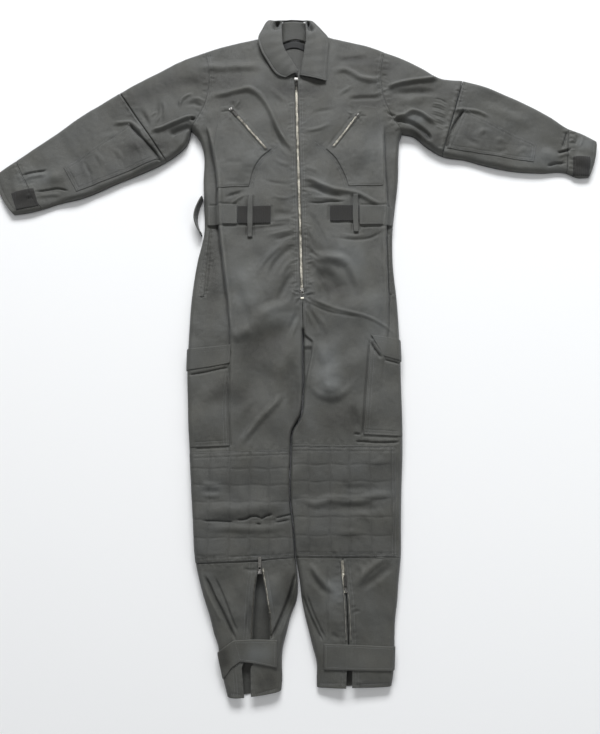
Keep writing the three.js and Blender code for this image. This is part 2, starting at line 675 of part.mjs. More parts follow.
const WAIST_Y = 262;
const backRows = [];
[WAIST_Y + GAP / 2, 302, 345, 390, 450, 477].forEach((y) => {
  backRows.push(underRow({ x: along(BODY_R, "y", y, "out"), y }, { x: along(BODY_L, "y", y, "out"), y }));
});
[...RING_STOPS].reverse().forEach((t) => {
  const row = underRow(armhole(R, t, -GAP / 2), armhole(L, t, -GAP / 2));
  // the rows bend up to the neck corners and dip at the back neck
  const lift = smooth(1 - t / 0.5);
  const rise = (x) => (x < -17 ? smooth((x + 245) / 170) : smooth((222 - x) / 180)) * 50;
  const dip = (x) => smooth(1 - Math.abs(x + 17) / 58) * BACK_NECK_DIP;
  backRows.push(row.map((q) => ({ x: q.x, y: q.y + lift * (rise(q.x) - dip(q.x)) })));
});
add("back_torso", wallGeometry(backRows.map((row) => row.map((q) => facePoint(q.x, q.y, true))), -WALL, 0), CLOTH);

function backLegGrid(side) {
  const body = side < 0 ? BODY_R : BODY_L;
  const shin = side < 0 ? SHIN_R : SHIN_L;
  const key = side < 0 ? "right" : "left";
  const rows = [];
  [WAIST_Y - GAP / 2, 210, 155, 107, 59, 20].forEach((y) => {
    const mid = along(CENTRE, "y", y, "x") + side * (GAP / 2);
    rows.push(underRow({ x: mid, y }, { x: along(body, "y", y, "out"), y }));
  });
  INSEAM.forEach((s) => rows.push(underRow({ x: s[key], y: s.y }, { x: along(body, "y", s.y, "out"), y: s.y })));
  shin.slice(1).forEach((s) => rows.push(underRow({ x: s.in, y: s.yIn }, { x: s.out, y: s.yOut })));
  return rows.map((row) => row.map((q) => facePoint(q.x, q.y, true)));
}
add("back_leg_r", wallGeometry(backLegGrid(R), -WALL, 0), CLOTH);
add("back_leg_l", wallGeometry(backLegGrid(L), -WALL, 0), CLOTH);

// ---- lower legs in front, split by the leg zip ----
function shinGrid(side) {
  const shin = side < 0 ? SHIN_R : SHIN_L;
  const gape = side < 0 ? GAPE_R : GAPE_L;
  const outer = [];
  const inner = [];
  shin.forEach((s, i) => {
    const a = { x: s.out, y: s.yOut - (i ? 0 : GAP) };
    const b = { x: s.in, y: s.yIn - (i ? 0 : GAP) };
    const y = lerp(a.y, b.y, 0.5);
    const outEdge = { x: along(gape, "y", y, "outer"), y };
    const inEdge = { x: along(gape, "y", y, "inner"), y };
    const place = (from, to) => {
      const span = Math.abs(to.x - from.x);
      return [0, 3 / span, 10 / span, 0.5, 1].map((t) => ({ x: lerp(from.x, to.x, t), y: lerp(from.y, to.y, t) }));
    };
    outer.push(place(a, outEdge).map((q) => facePoint(q.x, q.y)));
    inner.push(place(b, inEdge).map((q) => facePoint(q.x, q.y)));
  });
  return { outer, inner, wide: outer.map((row, i) => row.concat([...inner[i]].reverse())) };
}
const shinR = shinGrid(R);
const shinL = shinGrid(L);
add("shin_outer_r", wallGeometry(shinR.outer, -WALL, 0), CLOTH);
add("shin_inner_r", wallGeometry(shinR.inner, -WALL, 0), CLOTH);
add("shin_outer_l", wallGeometry(shinL.outer, -WALL, 0), CLOTH);
add("shin_inner_l", wallGeometry(shinL.inner, -WALL, 0), CLOTH);

// ---- sleeves: closed rings from the armhole to the cuff ----
function sleeveRing(s, shift = 0) {
  const top = RING_STOPS.map((t) => ringPoint(s, t, shift));
  const under = RING_STOPS.slice(1, -1).reverse().map((t) => ringPoint(s, t, shift));
  const ring = top.map((q) => facePoint(q.x, q.y)).concat(under.map((q) => facePoint(q.x, q.y, true)));
  return ring.map((q) => (q.n[2] === 0 ? { p: [q.p[0], q.p[1], EDGE_Z], n: q.n } : q));
}

function sleeveRows(side, from, to) {
  const table = side < 0 ? SLEEVE_R : SLEEVE_L;
  const rows = [];
  for (let i = from; i <= to; i += 1) {
    const s = table[i];
    // seams below the armhole are a little wider, because the two walls lean towards each other there
    const half = i === 0 ? GAP / 2 : GAP;
    const shift = i === from ? side * half : 0;
    const back = i === to && to < table.length - 1 ? -side * half : 0;
    rows.push(sleeveRing(s, shift + back));
  }
  return rows;
}

for (const [side, tag] of [[R, "r"], [L, "l"]]) {
  const last = SLEEVE_R.length - 1;
  add(`sleeve_upper_${tag}`, wallGeometry(sleeveRows(side, 0, SLEEVE_SEAM), -WALL, 0, true), CLOTH);
  add(`sleeve_lower_${tag}`, wallGeometry(sleeveRows(side, SLEEVE_SEAM, CUFF_SEAM), -WALL, 0, true), CLOTH);
  add(`cuff_${tag}`, wallGeometry(sleeveRows(side, CUFF_SEAM, last), -WALL, 0, true), CLOTH);
}
const topOf = (rows) => rows.map((row) => row.slice(0, RING_STOPS.length));
const elbowR = topOf(sleeveRows(R, SLEEVE_SEAM, CUFF_SEAM));
const elbowL = topOf(sleeveRows(L, SLEEVE_SEAM, CUFF_SEAM));
add("elbow_patch_r", sewnOn(elbowR, ELBOW_PATCH_R, GAP, PLY), QUILT);
add("elbow_patch_l", sewnOn(elbowL, ELBOW_PATCH_L, GAP, PLY), QUILT);
const cuffRows = (side) => topOf(sleeveRows(side, CUFF_SEAM, SLEEVE_R.length - 1));
add("cuff_tab_r", sewnOn(cuffRows(R), CUFF_TAB_R, GAP, PLY), PILE);
add("cuff_tab_l", sewnOn(cuffRows(L), CUFF_TAB_L, GAP, PLY), PILE);

// ---- pieces sewn on the fronts ----
add("chest_pocket_r", sewnOn(frontR, CHEST_POCKET_R, GAP, PLY), CLOTH);
add("chest_pocket_l", sewnOn(frontL, CHEST_POCKET_L, GAP, PLY), CLOTH);
add("cargo_pocket_r", sewnOn(frontR, CARGO_POCKET_R, GAP, PLY), CLOTH);
add("cargo_pocket_l", sewnOn(frontL, CARGO_POCKET_L, GAP, PLY), CLOTH);
add("cargo_flap_r", sewnOn(frontR, CARGO_FLAP_R, 2 * GAP + PLY, PLY), CLOTH);
add("cargo_flap_l", sewnOn(frontL, CARGO_FLAP_L, 2 * GAP + PLY, PLY), CLOTH);
add("knee_patch_r", sewnOn(frontR, KNEE_PATCH_R, GAP, PLY), QUILT);
add("knee_patch_l", sewnOn(frontL, KNEE_PATCH_L, GAP, PLY), QUILT);
add("hip_welt_r", sewnOn(frontR, HIP_WELT_R, GAP, PLY), CLOTH);
add("hip_welt_l", sewnOn(frontL, HIP_WELT_L, GAP, PLY), CLOTH);
for (const b of BELT) {
  const corners = [
    { x: b.x1, y: b.y1 },
    { x: b.x2, y: b.y1 },
    { x: b.x2, y: b.y2 },
    { x: b.x1, y: b.y2 },
  ];
  const grid = b.name.endsWith("_r") ? frontR : frontL;
  add(b.name, sewnOn(grid, corners, b.lift, b.ply), b.name.includes("pile") ? PILE : CLOTH);
}

// The right-hand waist strap stands out from the side in an open loop.
const bow = [];
for (let i = 0; i <= 10; i += 1) {
  const t = i / 10;
  bow.push({ x: SIDE_LOOP.x - SIDE_LOOP.bulge * Math.sin(Math.PI * t), y: lerp(SIDE_LOOP.y1, SIDE_LOOP.y2, t) });
}
const loopRing = bow.concat([...bow].reverse().map((q) => ({ x: q.x + SIDE_LOOP.wall, y: q.y })));
add("belt_side_loop", prism(loopRing, 0.5, SIDE_LOOP.width), CLOTH);

// ---- ankle straps, made from both halves of the lower leg so that they bridge the opening ----
const STRAP_R = [
  { x: -200, y: -735 },
  { x: -172, y: -722 },
  { x: -142, y: -704 },
  { x: -47, y: -703 },
  { x: -49, y: -760 },
  { x: -101, y: -750 },
  { x: -128, y: -747 },
  { x: -162, y: -783 },
  { x: -200, y: -803 },
];
const STRAP_L = [
  { x: 49, y: -711 },
  { x: 49, y: -764 },
  { x: 230, y: -768 },
  { x: 230, y: -716 },
];
add("ankle_strap_r", sewnOn(shinR.wide, STRAP_R, GAP, 2), CLOTH);
add("ankle_strap_l", sewnOn(shinL.wide, STRAP_L, GAP, 2), CLOTH);

// ---- zips ----
// A strip of even width along a line of points.
function strip(line, half) {
  const left = [];
  const right = [];
  line.forEach((q, i) => {
    const a = line[Math.max(0, i - 1)];
    const b = line[Math.min(line.length - 1, i + 1)];
    const len = Math.hypot(b.x - a.x, b.y - a.y);
    const nx = -(b.y - a.y) / len;
    const ny = (b.x - a.x) / len;
    left.push({ x: q.x + nx * half, y: q.y + ny * half });
    right.push({ x: q.x - nx * half, y: q.y - ny * half });
  });
  return left.concat(right.reverse());
}
const zipLine = (y1, y2) =>
  [y1, ...CENTRE.map((c) => c.y).filter((y) => y > y1 && y < y2), y2].map((y) => ({ x: along(CENTRE, "y", y, "x"), y }));
const TAPE_LOW = -WALL - GAP - 1;
// the tape follows only the four columns nearest the centre
const CENTRE_COLUMN = torsoWide[0].length / 2;
const besideZip = torsoWide.map((row) => [-3, -1, 0, 2].map((k) => row[CENTRE_COLUMN + k]));
add("zip_tape", sewnOn(besideZip, strip(zipLine(40, 660), 14), TAPE_LOW, 1), TAPE);
add("zip_teeth", sewnOn(besideZip, strip(zipLine(61, 641), TOOTH_HALF), TAPE_LOW + 1 + GAP, 2.4), TEETH);
for (const z of CHEST_ZIPS) {
  const grid = z.side === "r" ? frontR : frontL;
  const start = 5.4 / Math.hypot(z.x2 - z.x1, z.y2 - z.y1);
  const line = [
    { x: lerp(z.x1, z.x2, start), y: lerp(z.y1, z.y2, start) },
    { x: z.x2, y: z.y2 },
  ];
  add(`chest_zip_${z.side}`, sewnOn(grid, strip(line, 3.2), 2 * GAP + PLY, 1.8), TEETH);
}
// Each half of the right leg zip runs down its own edge; the left one is closed to its slider.
const gapeLine = (table, column, y1, y2, off) =>
  [y1, ...table.map((g) => g.y).filter((y) => y < y1 && y > y2), y2].map((y) => ({
    x: along(table, "y", y, column) + off,
    y,
  }));
add("leg_zip_outer_r", sewnOn(shinR.outer, strip(gapeLine(GAPE_R, "outer", -572, -699, -3), 2.2), GAP, 1.8), TEETH);
add("leg_zip_inner_r", sewnOn(shinR.inner, strip(gapeLine(GAPE_R, "inner", -572, -699, 3), 2.2), GAP, 1.8), TEETH);
add("leg_zip_l", sewnOn(shinL.wide, strip(gapeLine(GAPE_L, "outer", -538, -606, -4), 2.6), GAP, 1.8), TEETH);

// A slider: wedge body with a bridge over which the pull's eye is threaded. Its own +Y points along the pull.
const SLIDER_PLAN = [[-4.2, -5], [4.2, -5], [3.2, 5], [-3.2, 5]];
const BRIDGE_SIDE = [[-4, 0], [4, 0], [4, 2.6], [2.6, 4.4], [-2.6, 4.4], [-4, 2.6]];
const BRIDGE_HOLE = [[-2.8, 0.4], [2.8, 0.4], [2.8, 2.4], [2.1, 3.4], [-2.1, 3.4], [-2.8, 2.4]];
const asVectors = (corners) => corners.map(([x, y]) => new THREE.Vector2(x, y));

function plate(corners, holes, depth) {
  const shape = new THREE.Shape(asVectors(corners));
  holes.forEach((h) => shape.holes.push(new THREE.Path(asVectors(h))));
  return new THREE.ExtrudeGeometry(shape, { depth, bevelEnabled: false });
}

function sliderGeometry() {
  const body = plate(SLIDER_PLAN, [], 2);
  // the bridge is drawn from the side, then turned to stand lengthwise on the body
  const bridge = plate(BRIDGE_SIDE, [BRIDGE_HOLE], 2).translate(0, 0, -1);
  bridge.rotateX(Math.PI / 2).rotateZ(Math.PI / 2).translate(0, 0, 1.6);
  return fromSolid(toSolid(body).add(toSolid(bridge)));
}

// A pull: flat tab with an eye, and a cross rod at its near end under the bridge. Pivot at the origin.
function pullGeometry(length) {
  const { width, thick, eye, eyeEnd, rod } = PULL;
  const w = width / 2;
  const outline = [
    [-w, -rod / 2],
    [w, -rod / 2],
    [w, length - 2],
    [w - 1.5, length],
    [1.5 - w, length],
    [-w, length - 2],
  ];
  const window = [
    [-eye / 2, rod / 2],
    [eye / 2, rod / 2],
    [eye / 2, eyeEnd],
    [-eye / 2, eyeEnd],
  ];
  return plate(outline, [window], thick).translate(0, 0, -thick / 2);
}

// Each slider sits on its zip, turned so that its pull lies along +Y of its seat, tip down on the zip.
const PIVOT = { y: 1.6, z: 3.6 };
for (const z of SLIDERS) {
  const seat = new THREE.Group();
  seat.position.set(z.x, z.y, topZ(z.x, z.y) + z.seat);
  seat.rotation.z = z.turn;
  laid.add(seat);
  add(`${z.name}_slider`, sliderGeometry(), TEETH, seat);
  const hinge = new THREE.Group();
  hinge.position.set(0, PIVOT.y, PIVOT.z);
  hinge.rotation.x = -Math.asin(z.drop / z.pull);
  seat.add(hinge);
  add(`${z.name}_pull`, pullGeometry(z.pull), TEETH, hinge);
}

// ---- collar: a stand on the neckline and a turned-down leaf in one piece round the back ----
function withNormals(points, up) {
  const rows = points.length;
  const cols = points[0].length;
  const vec = (q) => new THREE.Vector3(...q);
  return points.map((row, i) =>
    row.map((p, j) => {
      const a = vec(points[Math.min(rows - 1, i + 1)][j]).sub(vec(points[Math.max(0, i - 1)][j]));
      const b = vec(row[Math.min(cols - 1, j + 1)]).sub(vec(row[Math.max(0, j - 1)]));
      const n = a.cross(b).normalize().multiplyScalar(up);
      return { p, n: n.toArray() };
    }),
  );
}
const leafRows = COLLAR.map((c) =>
  [0, 0.18, 0.5, 1].map((t) => {
    const z = lerp(c.rz, c.ez, t) + 5 * Math.sin(Math.PI * Math.min(1, t * 1.1)) * (c.ez > 20 ? 0.3 : 1);
    return [lerp(c.rx, c.ex, t), lerp(c.ry, c.ey, t), z];
  }),
);
add("collar_leaf", wallGeometry(withNormals(leafRows, 1), -WALL, 0), CLOTH);
const standRows = COLLAR.map((c) =>
  [0, 0.5, 1].map((t) => {
    const atBack = c.sy > 752 && c.sx > -60 && c.sx < 26;
    const sz = atBack ? 2 * WALL + 0.6 : topZ(c.sx, c.sy) + WALL + 0.6;
    const rz = c.rz - 3.2;
    return [lerp(c.sx, lerp(c.rx, c.sx, 0.06), t), lerp(c.sy, c.ry - (atBack ? 2.5 : 0), t), lerp(sz, rz, t ** 1.2)];
  }),
);
add("collar_stand", wallGeometry(withNormals(standRows, 1), -WALL, 0), CLOTH);

// Woven label inside the back neck, with nothing on it.
const LABEL = { x: -20, y: 733, width: 48, height: 15 };
const label = new THREE.BoxGeometry(LABEL.width, LABEL.height, 0.8);
label.translate(LABEL.x, LABEL.y, WALL + GAP + 0.4);
add("neck_label", label, PILE);

export default suit;
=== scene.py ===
import math

import bpy
import numpy as np
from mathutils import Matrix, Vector
from mathutils.geometry import delaunay_2d_cdt


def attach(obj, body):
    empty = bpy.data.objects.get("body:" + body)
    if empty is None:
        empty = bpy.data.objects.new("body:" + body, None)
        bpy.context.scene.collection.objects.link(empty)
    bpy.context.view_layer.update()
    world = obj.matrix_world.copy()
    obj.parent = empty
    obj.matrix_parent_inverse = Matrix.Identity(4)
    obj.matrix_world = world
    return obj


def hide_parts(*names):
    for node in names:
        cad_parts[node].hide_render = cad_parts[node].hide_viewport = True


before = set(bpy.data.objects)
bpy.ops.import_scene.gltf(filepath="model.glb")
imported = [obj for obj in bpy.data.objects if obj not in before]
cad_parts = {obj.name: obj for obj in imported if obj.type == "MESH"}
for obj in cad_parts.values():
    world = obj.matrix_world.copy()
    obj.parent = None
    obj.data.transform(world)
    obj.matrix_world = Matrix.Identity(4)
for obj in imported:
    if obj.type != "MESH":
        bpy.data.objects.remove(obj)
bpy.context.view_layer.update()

# Every size below is in millimetres, drawn about the zip; `make` moves it into the part's frame, in metres.
SHIFT = np.array([7.5, -0.8, 0.0])
EDGE_Z = 6.0  # height of the rolled side edge
ROLL_TOP = 12.0  # width over which the upper layer rolls down to the edge
ROLL_UNDER = 10.0
PLY = 1.7  # thickness of one sewn-on ply
WAIST = 262  # height of the seam between the back and the back legs
TOOTH_PITCH, STITCH_PITCH = 2.3, 4.1
FOLD_REACH = 1.6  # a fold dies out at this many of its half widths
BROAD, FOLD_GAIN = 25, 1.3  # folds of a smaller half width than this stand higher by the factor
rng = np.random.default_rng(11)
FINE = 2.3  # spacing of the points of the upper layer

# ---------------------------------------------------------------- sizes
# Body: edge down each side and the fold where the front turns over the side.
BODY_R = np.array([  # y, outer edge, fold, drop outside the fold
    (505, -273, -233, 4), (477, -251, -225, 9), (450, -242, -220, 11), (363, -239, -203, 12),
    (302, -236, -200, 12), (237, -233, -197, 12), (155, -248, -186, 12), (59, -259, -171, 10),
    (-16, -262, -165, 6), (-110, -263, -164, 4), (-181, -260, -164, 3), (-250, -256, -161, 3),
    (-300, -252, -160, 2), (-386, -245, -165, 0), (-455, -239, -165, 0), (-546, -230, -165, 0)])
BODY_L = np.array([
    (495, 256, 210, 4), (477, 250, 210, 7), (450, 247, 211, 9), (363, 242, 212, 11),
    (302, 234, 213, 11), (237, 226, 209, 10), (155, 224, 209, 9), (59, 231, 209, 8),
    (-16, 234, 208, 3), (-110, 235, 190, 0.8), (-181, 235, 182, 0.3), (-250, 235, 175, 0.2),
    (-300, 234, 172, 0), (-386, 229, 170, 0), (-455, 226, 168, 0), (-533, 223, 165, 0)])
INSEAM = np.array([  # y, edge of the right leg, edge of the left leg
    (-17, 6.6, 7.4), (-60, 7, 8), (-110, 7.2, 8.2), (-165, 6.4, 7.6), (-221, -0.2, 1.2),
    (-255, -18.4, -17.1), (-300, -21.4, -20.1), (-421, -21.4, -20.1), (-460, -16.3, -15.3),
    (-533, -10.3, -9.2)])
SHIN_R = np.array([  # outer y, outer x, inner y, inner x, from the knee seam to the hem
    (-547, -230, -533.5, -12), (-590, -219, -580, -5), (-622, -209, -622, -7), (-655, -197, -655, -20),
    (-690, -187, -690, -29), (-722, -176, -721, -37), (-747, -175, -752, -39), (-785, -164, -780, -38),
    (-820, -154, -807, -40)])
SHIN_L = np.array([
    (-534, 223, -533.5, -7.5), (-590, 216, -580, -1), (-622, 213, -622, 4), (-655, 208, -655, 11),
    (-690, 205, -690, 20), (-722, 204, -721, 28), (-752, 202, -752, 36), (-785, 198, -780, 36),
    (-798, 195, -800, 36)])
# Leg zips: the two edges. The right one gapes, the left one stays nearly shut.
GAPE_R = np.array([(-533, -90, -87), (-559, -92, -84), (-600, -97, -76), (-650, -100, -68),
                   (-702, -102, -64), (-760, -124, -106), (-822, -118, -104)])  # y, outer, inner
GAPE_L = np.array([(-533, 94.5, 93), (-580, 97.5, 96), (-622, 102.3, 100.8), (-710, 105.3, 103.8),
                   (-750, 107, 104), (-765, 111, 100), (-800, 110.5, 98)])
CENTRE = np.array([(-17, 7), (62, 5), (263, 0), (422, -5), (645, -10), (668, -10)])  # y, x of the front zip
# Sleeves from the armhole to the cuff: upper edge x, y, lower edge x, y, and the bow of each row.
SLEEVE_R = np.array([
    (-245, 722, -273, 505, 28), (-310, 696, -284, 464, 22), (-371, 662, -302, 444, 10),
    (-459, 609, -333, 420, 0), (-507, 576, -393, 388, 0), (-555, 543, -449, 363, 0),
    (-620, 490, -535, 323, 0), (-668, 454, -598, 306, 0), (-708, 423, -634, 293, -3),
    (-733, 404, -668, 284, -5), (-758, 383, -701, 279, -8)])
SLEEVE_L = np.array([
    (219, 725, 256, 495, -30), (320, 674, 283, 490, -18), (352, 653, 315, 462, -8),
    (416, 645, 354, 436, 0), (468, 628, 415, 424, 0), (508, 611, 460, 410, 0),
    (577, 577, 535, 394, 0), (630, 545, 600, 390, 0), (675, 512, 662, 390, 0),
    (708, 497, 688, 378, 3), (743, 477, 716, 378, 6)])
SLEEVE_SEAM, CUFF_SEAM = 3, 8  # their rows in the two tables
# Neckline x, y; then the height of body and sleeves above the surface, by y and by distance from the middle.
NECK_R = np.array([(-14, 668), (-48, 690), (-66, 722), (-73, 752), (-74, 774)])
NECK_L = np.array([(-4, 668), (22, 690), (34, 722), (40, 752), (40, 778)])
BODY_LOFT = np.array(
    [(-830, 16), (-620, 20), (-420, 22), (-200, 26), (60, 28), (300, 27), (620, 27), (800, 24)])
SLEEVE_LOFT = np.array([(220, 26), (420, 19), (650, 14.5), (770, 13)])

